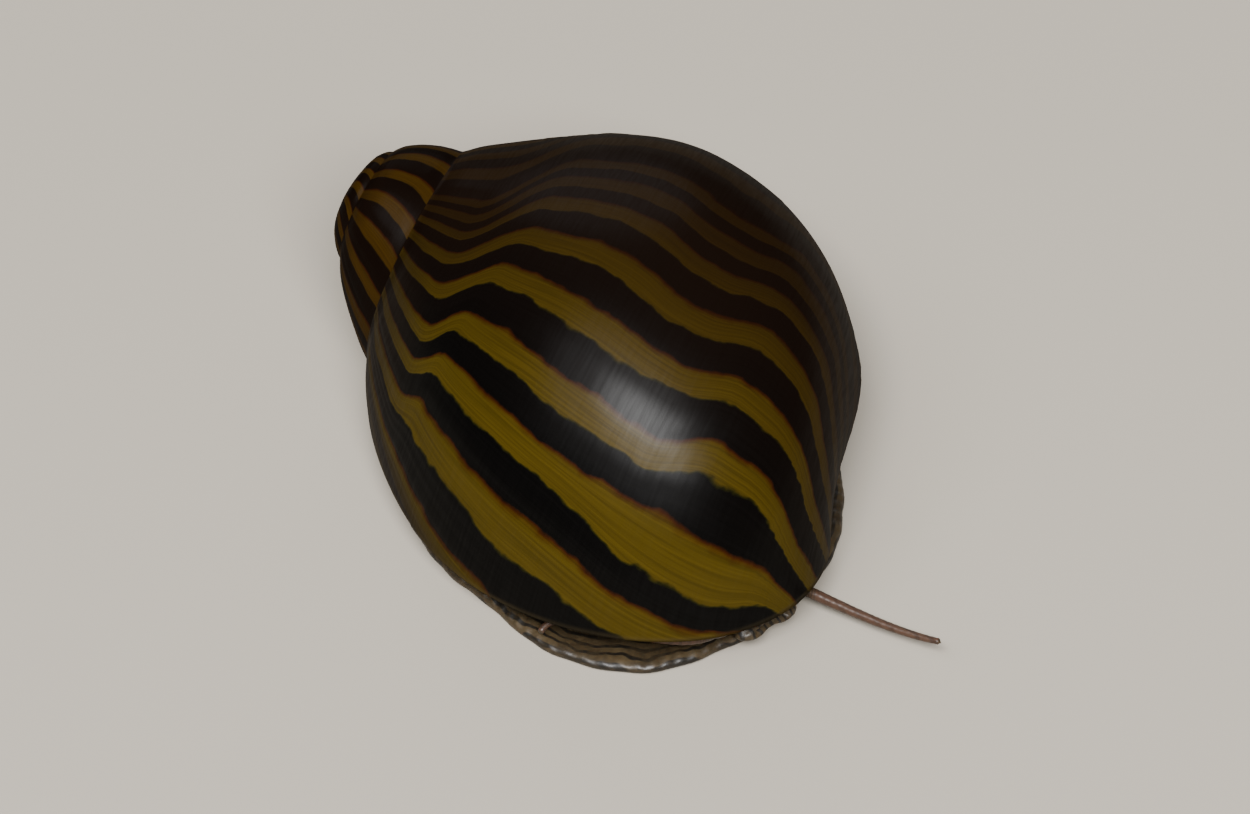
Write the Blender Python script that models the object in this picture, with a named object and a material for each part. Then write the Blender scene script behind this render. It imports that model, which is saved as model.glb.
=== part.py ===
"""A nerite snail at life size, crawling: a striped, half-round shell over a low foot.

The head points along -Y, up is +Z, and the sole lies flat on z = 0. The origin is under
the middle of the whole animal. Lengths are metres, written as millimetres times MM.
"""

import math

import bmesh
import bpy
import numpy as np

MM = 0.001
GAP = 0.3 * MM  # between two pieces that touch in life

# The shell is a spiral that keeps its shape as it grows. One whorl's section is a closed
# curve beside the coiling axis, and it is carried round that axis while it grows.
WHORL_GROWTH = 1.972  # size after one full turn
SECTION_FROM_AXIS = 4.47 * MM
SECTION_BELOW_APEX = 16.70 * MM
SECTION_RADIUS = 10.45 * MM
SECTION_WAVES = {2: (-0.184, -0.192), 3: (0.049, 0.058)}  # cosine and sine parts of its outline

# How the animal carries the shell.
LIP_HEIGHT = 2.0 * MM  # the lip's plane above the floor
APEX = np.array([-3.1, 16.25, 7.32]) * MM
AXIS_YAW = math.radians(19.1)  # the apex points back and to the animal's right
AXIS_PITCH = math.radians(18.3)
GROWTH_ROLL = math.radians(-40.2)

# The first whorls are worn down nearly flat, set a little higher and lean to one side.
SPIRE_WORN = 2.1 * MM
SPIRE_REACH = 3.74 * MM
SPIRE_WIDER = 0.05
SPIRE_SHIFT = np.array([-0.5, 2.02, 1.1]) * MM
TIP_RISE = 0.15 * MM

# A pad of callus fills the hollow that the spiral leaves at the front left of the base.
PAD_FROM = np.array([2.76, -8.12]) * MM
PAD_TO = np.array([9.57, 1.86]) * MM
PAD_DEPTH = 1.6 * MM
PAD_HEIGHT = 3.2 * MM
PAD_REACH = (-6.0 * MM, -1.8 * MM)  # it fades out this far inside the line between its ends

SHELL_ROWS = 44  # round one whorl
SHELL_COLUMNS = 12  # from the seam to the lip
SPIRE_TURNS = 1.45

# The opening under the shell.
RIM_SHARE = 0.88  # the deck and the opening lie inside this share of the base outline
DECK_DEPTH = 1.0 * MM
OPENING_DEPTH = 3.2 * MM
OPENING_TOP_SHARE = 0.68
COLUMELLA_X = 1.5 * MM  # straight inner edge of the opening

# The foot, a broad oval whose front right corner is the fullest.
FOOT_CENTRE = (-0.9 * MM, 0.45 * MM)
FOOT_RIGHT, FOOT_LEFT = 8.6 * MM, 8.9 * MM
FOOT_FRONT, FOOT_REAR = 9.7 * MM, 9.3 * MM
FOOT_CORNERS = {"front_right": 3.2, "front_left": 1.85, "rear_left": 2.1, "rear_right": 2.2}
MARGIN_HEIGHT = 0.5 * MM
TAIL_HEIGHT = 1.0 * MM
NECK_HEIGHT = 1.85 * MM
NECK_CENTRE = (-3.0 * MM, -1.2 * MM)
NECK_HALF = (4.2 * MM, 3.8 * MM)

# The operculum, the hard lid carried flat on the tail.
LID_CENTRE = (-0.4 * MM, 5.4 * MM)
LID_HALF = (4.2 * MM, 2.6 * MM)
LID_THICKNESS = 0.6 * MM
LID_BOTTOM = TAIL_HEIGHT + GAP

# The mantle fills the opening behind the head.
MANTLE_BOTTOM = LIP_HEIGHT + 0.2 * MM
MANTLE_FRONT = -5.25 * MM

# The head, a broad snout between the foot and the shell's front edge.
HEAD_X = -1.9 * MM
HEAD_BOTTOM = MARGIN_HEIGHT + GAP
HEAD_BACK, SNOUT_TIP = -5.55 * MM, -9.95 * MM
BROW_OUT, BROW_Y, BROW_HEIGHT, BROW_RADIUS = 1.8 * MM, -8.3 * MM, 1.3 * MM, 0.62 * MM
MOUTH_WIDTH, MOUTH_DEPTH, MOUTH_OPEN = 1.9 * MM, 0.4 * MM, 0.16 * MM

# Feelers, each a cubic curve through the air, and the eyes beside their roots.
FEELER_ROOT, FEELER_END = 0.28 * MM, 0.2 * MM
FEELER_PARTING = 0.47
LEFT_FEELER = ((0.2, -9.2, 1.3), (0.9, -11.05, 1.1), (1.7, -13.1, 0.75), (2.48, -15.12, 1.25))
RIGHT_FEELER = ((-3.95, -9.1, 1.3), (-6.9, -9.4, 1.3), (-7.6, -3.2, 1.6), (-9.3, -4.35, 0.97))
STALK_RADIUS, STALK_LENGTH = 0.36 * MM, 0.55 * MM
EYE_RADIUS = 0.26 * MM
EYE_GAP = 0.12 * MM


def material(name, colour, roughness, metallic=0.0):
    made = bpy.data.materials.new(name)
    made.use_nodes = True
    shader = made.node_tree.nodes["Principled BSDF"]
    shader.inputs["Base Color"].default_value = (*colour, 1.0)
    shader.inputs["Roughness"].default_value = roughness
    shader.inputs["Metallic"].default_value = metallic
    return made


def add_object(name, bm, finish):
    """The bmesh as a named object, its faces turned outwards and shaded smooth."""
    bmesh.ops.recalc_face_normals(bm, faces=bm.faces)
    mesh = bpy.data.meshes.new(name)
    bm.to_mesh(mesh)
    bm.free()
    mesh.materials.append(finish)
    mesh.shade_smooth()
    mesh.set_sharp_from_angle(angle=math.radians(40))
    made = bpy.data.objects.new(name, mesh)
    bpy.context.scene.collection.objects.link(made)
    return made


def loft(rings):
    """A closed bmesh through rings of equally many points. A ring of one point closes an end."""
    bm = bmesh.new()
    made = [[bm.verts.new(point) for point in ring] for ring in rings]
    for ring, following in zip(made[:-1], made[1:]):
        count = max(len(ring), len(following))
        for i in range(count):
            corners = [
                ring[i % len(ring)],
                ring[(i + 1) % len(ring)],
                following[(i + 1) % len(following)],
                following[i % len(following)],
            ]
            bm.faces.new(list(dict.fromkeys(corners)))
    for end in (made[0], made[-1]):
        if len(end) > 1:
            bm.faces.new(end)
    bmesh.ops.triangulate(bm, faces=bm.faces)
    return bm


def applied(made):
    """Bakes the object's modifiers into its mesh and keeps the largest closed surface."""
    graph = bpy.context.evaluated_depsgraph_get()
    mesh = bpy.data.meshes.new_from_object(made.evaluated_get(graph))
    made.modifiers.clear()
    made.data = mesh
    bm = bmesh.new()
    bm.from_mesh(mesh)
    left, islands = set(bm.verts), []
    while left:
        island, edge = set(), [left.pop()]
        while edge:
            vert = edge.pop()
            island.add(vert)
            near = {e.other_vert(vert) for e in vert.link_edges} & left
            left -= near
            edge.extend(near)
        islands.append(island)
    largest = max(islands, key=len)
    loose = [vert for vert in bm.verts if vert not in largest]
    bmesh.ops.delete(bm, geom=loose, context="VERTS")
    bm.to_mesh(mesh)
    bm.free()


def combine(made, others, operation):
    """Joins other closed objects to this one, or cuts them from it, by one Boolean."""
    pieces = bpy.data.collections.new(made.name + "_pieces")
    bpy.context.scene.collection.children.link(pieces)
    for other in others:
        bpy.context.scene.collection.objects.unlink(other)
        pieces.objects.link(other)
    boolean = made.modifiers.new(operation.lower(), "BOOLEAN")
    boolean.operation = operation
    boolean.operand_type = "COLLECTION"
    boolean.collection = pieces
    boolean.solver = "EXACT"
    bpy.context.view_layer.update()
    applied(made)
    for other in others:
        bpy.data.objects.remove(other)
    bpy.data.collections.remove(pieces)


def section_radius(angle):
    """Distance of a whorl's outline from the section's middle, at this angle round it."""
    wave = sum(a * np.cos(n * angle) + b * np.sin(n * angle) for n, (a, b) in SECTION_WAVES.items())
    return SECTION_RADIUS * np.exp(wave)


def section(angle):
    """The whorl's outline as distance from the coiling axis and height against the apex."""
    rho = section_radius(angle)
    return SECTION_FROM_AXIS + rho * np.cos(angle), rho * np.sin(angle) - SECTION_BELOW_APEX


def turn(axis, angle):
    """Rotation matrix about x (0) or z (2)."""
    matrix = np.eye(3)
    i, j = {0: (1, 2), 2: (0, 1)}[axis]
    matrix[i, i] = matrix[j, j] = math.cos(angle)
    matrix[i, j], matrix[j, i] = -math.sin(angle), math.sin(angle)
    return matrix


# Columns: where the spiral's own x, y and z go when the apex points straight back.
APEX_BACK = np.array([[-1, 0, 0], [0, 0, 1], [0, 1, 0]]).T
CARRIED = turn(2, AXIS_YAW) @ turn(0, AXIS_PITCH) @ APEX_BACK @ turn(2, GROWTH_ROLL)


def padded(points):
    """Moves points near the base's front left outwards, most in the middle of the pad's line."""
    line = PAD_TO - PAD_FROM
    length = np.linalg.norm(line)
    line = line / length
    outwards = np.array([line[1], -line[0]])
    from_start = points[..., :2] - PAD_FROM
    share = np.clip(from_start @ line / length, 0, 1)
    inside, edge = PAD_REACH
    near = np.clip((from_start @ outwards - inside) / (edge - inside), 0, 1)
    low = np.exp(-(((points[..., 2] - LIP_HEIGHT) / PAD_HEIGHT) ** 2))
    push = PAD_DEPTH * np.sin(np.pi * share) ** 2 * near**2 * (3 - 2 * near) * low
    moved = points.copy()
    moved[..., :2] += push[..., None] * outwards
    return moved


def shell_point(theta, angle):
    """Shell surface: the section at this angle, turned by theta and grown by theta's share.
    Near the apex it is flattened, widened and shifted, all by its depth below the apex."""
    distance, height = section(angle)
    grown = WHORL_GROWTH ** (theta / (2 * math.pi))
    depth = -grown * height
    near = np.exp(-((depth / SPIRE_REACH) ** 3))
    distance = grown * distance * (1 + SPIRE_WIDER * near)
    depth = (depth**4 + SPIRE_WORN**4) ** 0.25
    spiral = np.stack([distance * np.cos(theta), -distance * np.sin(theta), -depth], axis=-1)
    spiral = spiral + near[..., None] * SPIRE_SHIFT
    return padded(spiral @ CARRIED.T + APEX)


def seam_angles():
    """The section's angles where it meets the whorl before it and the whorl after it."""
    angle = np.linspace(0.3, 2.2, 8000)
    distance, height = section(angle)
    across = WHORL_GROWTH * distance - SECTION_FROM_AXIS
    along = WHORL_GROWTH * height + SECTION_BELOW_APEX
    below = np.arctan2(along, across)
    first = np.argmax(np.hypot(across, along) < section_radius(below))
    return angle[first], below[first]


def base_crossing(theta, seam):
    """For each theta, the section's angle where the shell first comes down to the lip's plane."""
    angle = np.linspace(seam, -2.0, 3000)
    height = shell_point(theta[:, None], angle[None, :])[..., 2] - LIP_HEIGHT
    after = np.argmax(height <= 0, axis=1)
    row = np.arange(len(theta))
    above, under = height[row, after - 1], height[row, after]
    share = above / (above - under)
    return angle[after - 1] + share * (angle[after] - angle[after - 1])


def shell_rows(seam):
    """One turn of row angles, from the end of the lip back, close together where the base
    outline runs far from one row to the next."""
    fine = np.linspace(-0.3, 0.6, 4000)
    height = shell_point(fine, np.full_like(fine, seam))[:, 2]
    lip_end = fine[np.argmax(height < LIP_HEIGHT)]
    theta = lip_end - np.linspace(0.002, 2 * math.pi, 1500)
    outline = shell_point(theta, base_crossing(theta, seam))
    length = np.append(0, np.cumsum(np.linalg.norm(np.diff(outline, axis=0), axis=1)))
    evenly = length / length[-1] + (theta[0] - theta) / (2 * math.pi)
    wanted = np.linspace(0, evenly[-1], SHELL_ROWS + 1)
    turned = np.interp(wanted, evenly, theta)
    turned[0], turned[-1] = lip_end, lip_end - 2 * math.pi
    return turned


def shell_grid():
    """Points of the shell's outside as rows round the axis and columns seam to base, and the
    base outline. The first row is the single point where the lip meets the seam."""
    seam, seam_below = seam_angles()
    turned = shell_rows(seam)
    count = int(SHELL_ROWS * (1 + SPIRE_TURNS))
    index = np.arange(count + 1)
    theta = turned[index % SHELL_ROWS] - 2 * math.pi * (index // SHELL_ROWS)
    last = np.full(count + 1, seam_below)
    last[1:SHELL_ROWS] = base_crossing(theta[1:SHELL_ROWS], seam)
    share = np.linspace(0, 1, SHELL_COLUMNS + 1)
    points = shell_point(theta[:, None], seam + (last[:, None] - seam) * share[None, :])
    points[1:SHELL_ROWS, -1, 2] = LIP_HEIGHT
    points[0] = points[0, 0]
    return points


def shell_solid(finish):
    """Each row of a later whorl ends on the seam point of the whorl outside it, so the spiral
    strip closes on itself. The base is flat, and a low cap stands for the worn tip."""
    points = shell_grid()
    bm = bmesh.new()
    rows = [[bm.verts.new(points[0, 0])] * (SHELL_COLUMNS + 1)]
    for i in range(1, len(points)):
        row = [bm.verts.new(point) for point in points[i, :-1]]
        row.append(bm.verts.new(points[i, -1]) if i < SHELL_ROWS else rows[i - SHELL_ROWS][0])
        rows.append(row)
    for upper, lower in zip(rows[:-1], rows[1:]):
        for j in range(SHELL_COLUMNS):
            corners = [upper[j], lower[j], lower[j + 1], upper[j + 1]]
            bm.faces.new(list(dict.fromkeys(corners)))
    base = [row[-1] for row in rows[:SHELL_ROWS]]
    bm.faces.new(base)
    tip = [row[0] for row in rows[-SHELL_ROWS - 1 :]] + rows[-1][1:-1]
    cap = bm.verts.new(np.mean([vert.co for vert in tip], axis=0) + TIP_RISE * CARRIED[:, 2])
    for i, vert in enumerate(tip):
        bm.faces.new([vert, tip[(i + 1) % len(tip)], cap])
    bmesh.ops.triangulate(bm, faces=bm.faces)
    return add_object("shell", bm, finish)


def base_outline():
    """The shell's outline on the lip's plane, from where the lip meets the seam."""
    seam, _ = seam_angles()
    theta = shell_rows(seam)[1:-1]
    return shell_point(theta, base_crossing(theta, seam))[:, :2]


OUTLINE = base_outline()
BASE_MIDDLE = OUTLINE.mean(axis=0)


def deck_ring(height):
    inner = BASE_MIDDLE + RIM_SHARE * (OUTLINE - BASE_MIDDLE)
    return [(x, y, height) for x, y in inner]


def opening_ring(height, share=1.0, inset=0.0, front=None):
    """The half-moon of the opening at this height, drawn in by a share and a width."""
    inner = BASE_MIDDLE + RIM_SHARE * (OUTLINE - BASE_MIDDLE)
    inner[:, 0] = np.minimum(inner[:, 0], COLUMELLA_X)
    middle = 0.5 * (inner.min(axis=0) + inner.max(axis=0))
    half = 0.5 * (inner.max(axis=0) - inner.min(axis=0))
    inner = middle + (inner - middle) * (share - inset / half)
    if front is not None:
        inner[:, 1] = np.maximum(inner[:, 1], front)
    return [(x, y, height) for x, y in inner]


def open_shell(shell, finish):
    """Cuts the flat deck and the deeper half-moon opening into the base."""
    under = LIP_HEIGHT - 1.0 * MM
    deck = loft([deck_ring(under), deck_ring(LIP_HEIGHT + DECK_DEPTH)])
    top = LIP_HEIGHT + OPENING_DEPTH
    opening = loft([opening_ring(under), opening_ring(LIP_HEIGHT), opening_ring(top, OPENING_TOP_SHARE)])
    cutters = [add_object("deck_cut", deck, finish), add_object("opening_cut", opening, finish)]
    combine(shell, cutters, "DIFFERENCE")


def mantle_solid(finish):
    """Fills the opening above the foot and behind the head."""
    low = opening_ring(MANTLE_BOTTOM, inset=1.6 * GAP, front=MANTLE_FRONT)
    high = opening_ring(
        LIP_HEIGHT + OPENING_DEPTH - GAP,
        share=OPENING_TOP_SHARE,
        inset=1.2 * GAP,
        front=MANTLE_FRONT,
    )
    return add_object("mantle", loft([low, high]), finish)


def foot_outline(angle):
    """The sole's edge: four quarter ovals, each as square as its corner, with slight waves."""
    cosine, sine = np.cos(angle), np.sin(angle)
    across = np.where(cosine > 0, FOOT_LEFT, FOOT_RIGHT)
    along = np.where(sine > 0, FOOT_REAR, FOOT_FRONT)
    corner = np.select(
        [(cosine > 0) & (sine > 0), (cosine <= 0) & (sine > 0), (cosine <= 0) & (sine <= 0)],
        [FOOT_CORNERS["rear_left"], FOOT_CORNERS["rear_right"], FOOT_CORNERS["front_right"]],
        FOOT_CORNERS["front_left"],
    )
    reach = (np.abs(cosine / across) ** corner + np.abs(sine / along) ** corner) ** (-1 / corner)
    wave = 1 + 0.006 * np.sin(7 * angle + 0.6) + 0.005 * np.sin(12 * angle + 2.1)
    return np.stack([reach * wave * cosine, reach * wave * sine], axis=-1)


def foot_top(x, y):
    """Height of the foot's back: a thin margin, a thicker tail, and the neck."""
    out = np.hypot((x - NECK_CENTRE[0]) / NECK_HALF[0], (y - NECK_CENTRE[1]) / NECK_HALF[1])
    neck = np.clip(1.15 - out**2, 0, 1) ** 1.5
    tail = np.clip((y + 5.0 * MM) / (5.0 * MM), 0, 1)
    body = MARGIN_HEIGHT + (TAIL_HEIGHT - MARGIN_HEIGHT) * tail**2 * (3 - 2 * tail)
    return body + (NECK_HEIGHT - body) * neck


def foot_solid(finish):
    """Rings from the middle of the sole out to the margin and back over the top."""
    edge = foot_outline(np.linspace(0, 2 * math.pi, 56, endpoint=False))
    middle = np.array(FOOT_CENTRE)
    rings = [[(*middle, 0.0)]]
    for share, height in ((0.965, 0.0), (0.995, 0.1 * MM), (1.0, 0.25 * MM), (0.985, 0.42 * MM)):
        rings.append([(x, y, height) for x, y in middle + share * edge])
    for share in (0.94, 0.84, 0.72, 0.58, 0.44, 0.3, 0.15):
        level = middle + share * edge
        low = MARGIN_HEIGHT + (foot_top(*level.T) - MARGIN_HEIGHT) * min(1.0, (1 - share) / 0.16)
        rings.append([(x, y, z) for (x, y), z in zip(level, low)])
    rings.append([(*middle, float(foot_top(*middle)))])
    return add_object("foot", loft(rings), finish)


def operculum_solid(finish):
    """A half-moon plate: one long side nearly straight, thinner at its edge."""
    angle = np.linspace(0, 2 * math.pi, 32, endpoint=False)
    bow = np.where(np.sin(angle) > 0, 1.0, 0.55)
    edge = np.stack([LID_HALF[0] * np.cos(angle), LID_HALF[1] * bow * np.sin(angle)], axis=-1)
    middle = np.array(LID_CENTRE)
    rings = [[(*middle, LID_BOTTOM)]]
    for share, lift in ((0.9, 0.0), (1.0, 0.35), (0.95, 0.7), (0.6, 0.95)):
        height = LID_BOTTOM + lift * LID_THICKNESS
        rings.append([(x, y, height) for x, y in middle + share * edge])
    rings.append([(*middle, LID_BOTTOM + LID_THICKNESS)])
    return add_object("operculum", loft(rings), finish)


def oval_ring(y, width, bottom, top, count=24):
    """An upright oval section of the head: flat below, arched above."""
    angle = np.linspace(0, 2 * math.pi, count, endpoint=False)
    across = np.sign(np.cos(angle)) * np.abs(np.cos(angle)) ** 0.75
    up = np.sign(np.sin(angle)) * np.abs(np.sin(angle)) ** np.where(np.sin(angle) > 0, 0.9, 0.55)
    middle, half = 0.5 * (bottom + top), 0.5 * (top - bottom)
    return [(HEAD_X + 0.5 * width * a, y, middle + half * u) for a, u in zip(across, up)]


def ball(name, centre, radii, finish):
    bm = bmesh.new()
    bmesh.ops.create_uvsphere(bm, u_segments=16, v_segments=10, radius=1.0)
    for vert in bm.verts:
        vert.co = [c + r * v for c, r, v in zip(centre, radii, vert.co)]
    bmesh.ops.triangulate(bm, faces=bm.faces)
    return add_object(name, bm, finish)


def head_solid(finish):
    """A low, broad snout with two lips, a brow over each eye, and the slit of the mouth."""
    length = HEAD_BACK - SNOUT_TIP
    rings = []
    # share of the length from the back, width and top height in millimetres
    for share, width, top in (
        (0.0, 3.6, 3.3),
        (0.12, 4.6, 3.5),
        (0.3, 4.9, 3.2),
        (0.46, 4.5, 2.2),
        (0.6, 3.8, 1.7),
        (0.75, 3.1, 1.62),
        (0.9, 2.9, 1.52),
        (0.97, 2.5, 1.36),
    ):
        rings.append(oval_ring(HEAD_BACK - share * length, width * MM, HEAD_BOTTOM, top * MM))
    rings.append(oval_ring(SNOUT_TIP, 1.6 * MM, HEAD_BOTTOM + 0.15 * MM, 1.15 * MM))
    head = add_object("head", loft(rings), finish)
    lumps = []
    for side in (-1, 1):
        brow = (HEAD_X + side * BROW_OUT, BROW_Y, BROW_HEIGHT)
        lumps.append(ball("brow", brow, (BROW_RADIUS, BROW_RADIUS, 0.8 * BROW_RADIUS), finish))
        lip = (HEAD_X + side * 0.75 * MM, SNOUT_TIP + 0.45 * MM, HEAD_BOTTOM + 0.36 * MM)
        lumps.append(ball("lip", lip, (0.85 * MM, 0.6 * MM, 0.36 * MM), finish))
    combine(head, lumps, "UNION")
    slit = bmesh.new()
    bmesh.ops.create_cube(slit, size=1.0)
    for vert in slit.verts:
        vert.co.x = HEAD_X + vert.co.x * MOUTH_WIDTH
        vert.co.y = SNOUT_TIP + vert.co.y * 2 * MOUTH_DEPTH
        vert.co.z = HEAD_BOTTOM + 0.34 * MM + vert.co.z * MOUTH_OPEN
    combine(head, [add_object("mouth_cut", slit, finish)], "DIFFERENCE")
    return head


def curve_point(controls, t):
    """Cubic Bezier point and direction."""
    p = np.array(controls) * MM
    point = (1 - t) ** 3 * p[0] + 3 * t * (1 - t) ** 2 * p[1] + 3 * t**2 * (1 - t) * p[2] + t**3 * p[3]
    along = (1 - t) ** 2 * (p[1] - p[0]) + 2 * t * (1 - t) * (p[2] - p[1]) + t**2 * (p[3] - p[2])
    return point, along / np.linalg.norm(along)


def cross_ring(point, along, radius, count=10):
    """A circle round the point, square to the direction."""
    side = np.cross(along, (0, 0, 1))
    side /= np.linalg.norm(side)
    up = np.cross(side, along)
    turned = np.linspace(0, 2 * math.pi, count, endpoint=False)
    return [point + radius * (math.cos(a) * side + math.sin(a) * up) for a in turned]


def feeler_solid(name, controls, start, end, finish):
    """A length of a feeler from share start to share end. The last length ends round."""
    rings = []
    for t in np.linspace(start, end, 13):
        point, along = curve_point(controls, t)
        radius = FEELER_ROOT + (FEELER_END - FEELER_ROOT) * t
        if t > 0.97:
            radius *= math.sqrt(max(0.0, 1 - ((t - 0.97) / 0.031) ** 2))
        rings.append(cross_ring(point, along, radius))
    return add_object(name, loft(rings), finish)


def feeler(side, controls, finish):
    """Two lengths with a thin parting between them."""
    samples = np.array([curve_point(controls, t)[0] for t in np.linspace(0, 1, 60)])
    length = np.linalg.norm(np.diff(samples, axis=0), axis=1).sum()
    parting = FEELER_PARTING + GAP / length
    feeler_solid(f"tentacle_{side}_base", controls, 0.0, FEELER_PARTING, finish)
    feeler_solid(f"tentacle_{side}_tip", controls, parting, 1.0, finish)


def eye(side, sign, skin, pupil):
    """A short stalk on the brow's outer side with a round black eye at its end."""
    outward = np.array([sign * 0.9, 0.42, 0.1])
    outward /= np.linalg.norm(outward)
    brow = np.array([HEAD_X + sign * BROW_OUT, BROW_Y, BROW_HEIGHT])
    root = brow + outward * (BROW_RADIUS + GAP)
    rings = []
    for share, width in ((0.0, 1.0), (0.45, 0.95), (0.8, 0.85), (1.0, 0.6)):
        ring = cross_ring(root + outward * share * STALK_LENGTH, outward, width * STALK_RADIUS, 14)
        rings.append(ring)
    add_object(f"eye_stalk_{side}", loft(rings), skin)
    centre = root + outward * (STALK_LENGTH + EYE_GAP + EYE_RADIUS)
    ball(f"eye_{side}", centre, (EYE_RADIUS,) * 3, pupil)


for old in list(bpy.data.objects):
    bpy.data.objects.remove(old)

SHELL_FINISH = material("shell_black_gold", (0.045, 0.03, 0.008), 0.25)
FLESH_FINISH = material("flesh_grey_brown", (0.10, 0.075, 0.05), 0.4)
LID_FINISH = material("operculum_horn", (0.22, 0.14, 0.07), 0.35)
EYE_FINISH = material("eye_black", (0.005, 0.005, 0.005), 0.1)

open_shell(shell_solid(SHELL_FINISH), SHELL_FINISH)
mantle_solid(FLESH_FINISH)
foot_solid(FLESH_FINISH)
operculum_solid(LID_FINISH)
head_solid(FLESH_FINISH)
feeler("left", LEFT_FEELER, FLESH_FINISH)
feeler("right", RIGHT_FEELER, FLESH_FINISH)
eye("left", 1, FLESH_FINISH, EYE_FINISH)
eye("right", -1, FLESH_FINISH, EYE_FINISH)
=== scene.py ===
"""A life-size nerite snail: the looks of its shell, skin, lid and eyes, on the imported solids."""

import math

import bpy
import numpy as np
from mathutils import Matrix, Vector


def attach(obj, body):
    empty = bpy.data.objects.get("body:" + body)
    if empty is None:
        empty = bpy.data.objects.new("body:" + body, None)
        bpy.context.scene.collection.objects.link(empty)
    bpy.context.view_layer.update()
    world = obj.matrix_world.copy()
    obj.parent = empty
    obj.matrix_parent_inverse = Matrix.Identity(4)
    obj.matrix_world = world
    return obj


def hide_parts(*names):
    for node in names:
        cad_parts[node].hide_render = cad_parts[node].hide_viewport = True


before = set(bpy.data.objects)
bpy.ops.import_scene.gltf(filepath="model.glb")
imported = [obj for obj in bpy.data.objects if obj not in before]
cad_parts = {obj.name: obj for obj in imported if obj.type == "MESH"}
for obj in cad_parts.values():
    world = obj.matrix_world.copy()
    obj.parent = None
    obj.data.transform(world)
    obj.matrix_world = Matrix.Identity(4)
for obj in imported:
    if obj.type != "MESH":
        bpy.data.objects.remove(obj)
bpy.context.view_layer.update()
MM = 0.001


# The shell's outside. The real shell is one tube of limy layers under a horny skin, wound
# to the right round a short axis. Each turn grows to twice the size of the one before, and
# half covers it, so the outside is one spiral strip that closes on itself along the seam.
WHORL_GROWTH = 1.972
SECTION_FROM_AXIS, SECTION_BELOW_APEX, SECTION_RADIUS = 4.47, 16.70, 10.45  # millimetres
SECTION_WAVES = {2: (-0.184, -0.192), 3: (0.049, 0.058)}
LIP_HEIGHT = 2.0
APEX = np.array([-3.1, 16.25, 7.32])
AXIS_YAW, AXIS_PITCH, GROWTH_ROLL = math.radians(19.1), math.radians(18.3), math.radians(-40.2)
PAD_FROM, PAD_TO = np.array([2.76, -8.12]), np.array([9.57, 1.86])
PAD_DEPTH, PAD_HEIGHT, PAD_REACH = 1.6, 3.2, (-6.0, -1.8)
# The first whorls are worn down nearly flat, set a little higher and lean to one side.
SPIRE_WORN, SPIRE_REACH, SPIRE_WIDER = 2.1, 3.74, 0.05
SPIRE_SHIFT, TIP_RISE, CAP_COUNT = np.array([-0.5, 2.02, 1.1]), 0.05, 60.0
SHELL_SHARE = 0.995  # of the solid's size, so that the fine curve stays inside its corners
SHELL_MIDDLE = np.array([0.0, 2.0, 5.0])
# First angle, last angle and number of steps of each search.
SEAM_SEARCH, LIP_SEARCH, BASE_SEARCH_END, BASE_STEPS = (0.3, 2.2, 8000), (-0.3, 0.6, 4000), -2.0, 2400
LIP_GAP, OUTLINE_STEPS = 0.002, 1200
ROWS, COLUMNS, SPIRE_TURNS = 184, 76, 3.0
COLUMNS_CROWDED = 1.12  # power that crowds the columns towards the seam
SUTURE_DEPTH, SUTURE_WIDTH, SUTURE_REACH = 0.11, 0.075, 1.3
RIDGE_HEIGHT, RIDGE_COUNT, RIDGES_END = 0.014, 1400, 30
RIDGE_TALLER, RIDGE_TALL_FROM = 2.5, 0.93
RIDGE_FADE_SEAM, RIDGE_FADE_BASE = (0.0, 0.1), (-0.02, 0.25)


def turn(axis, angle):
    """Rotation matrix about x (0) or z (2)."""
    matrix = np.eye(3)
    i, j = {0: (1, 2), 2: (0, 1)}[axis]
    matrix[i, i] = matrix[j, j] = math.cos(angle)
    matrix[i, j], matrix[j, i] = -math.sin(angle), math.sin(angle)
    return matrix


APEX_BACK = np.array([[-1, 0, 0], [0, 0, 1], [0, 1, 0]]).T
CARRIED = turn(2, AXIS_YAW) @ turn(0, AXIS_PITCH) @ APEX_BACK @ turn(2, GROWTH_ROLL)


def smooth(low, high, value):
    """Rises from 0 at low to 1 at high, level at both ends."""
    share = np.clip((value - low) / (high - low), 0, 1)
    return share * share * (3 - 2 * share)


def section_radius(angle):
    """A circle's radius times e to the sum of two and three waves round it."""
    waves = [a * np.cos(n * angle) + b * np.sin(n * angle) for n, (a, b) in SECTION_WAVES.items()]
    return SECTION_RADIUS * np.exp(sum(waves))


def padded(points):
    """Pushes the hollow at the base's front left outwards, by a squared sine along its line
    that fades inwards and, as a bell curve, with height."""
    line = PAD_TO - PAD_FROM
    length = np.linalg.norm(line)
    line = line / length
    outwards = np.array([line[1], -line[0]])
    start = points[..., :2] - PAD_FROM
    along = np.clip(start @ line / length, 0, 1)
    near = smooth(*PAD_REACH, start @ outwards)
    low = np.exp(-(((points[..., 2] - LIP_HEIGHT) / PAD_HEIGHT) ** 2))
    moved = points.copy()
    moved[..., :2] += (PAD_DEPTH * np.sin(np.pi * along) ** 2 * near * low)[..., None] * outwards
    return moved


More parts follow.
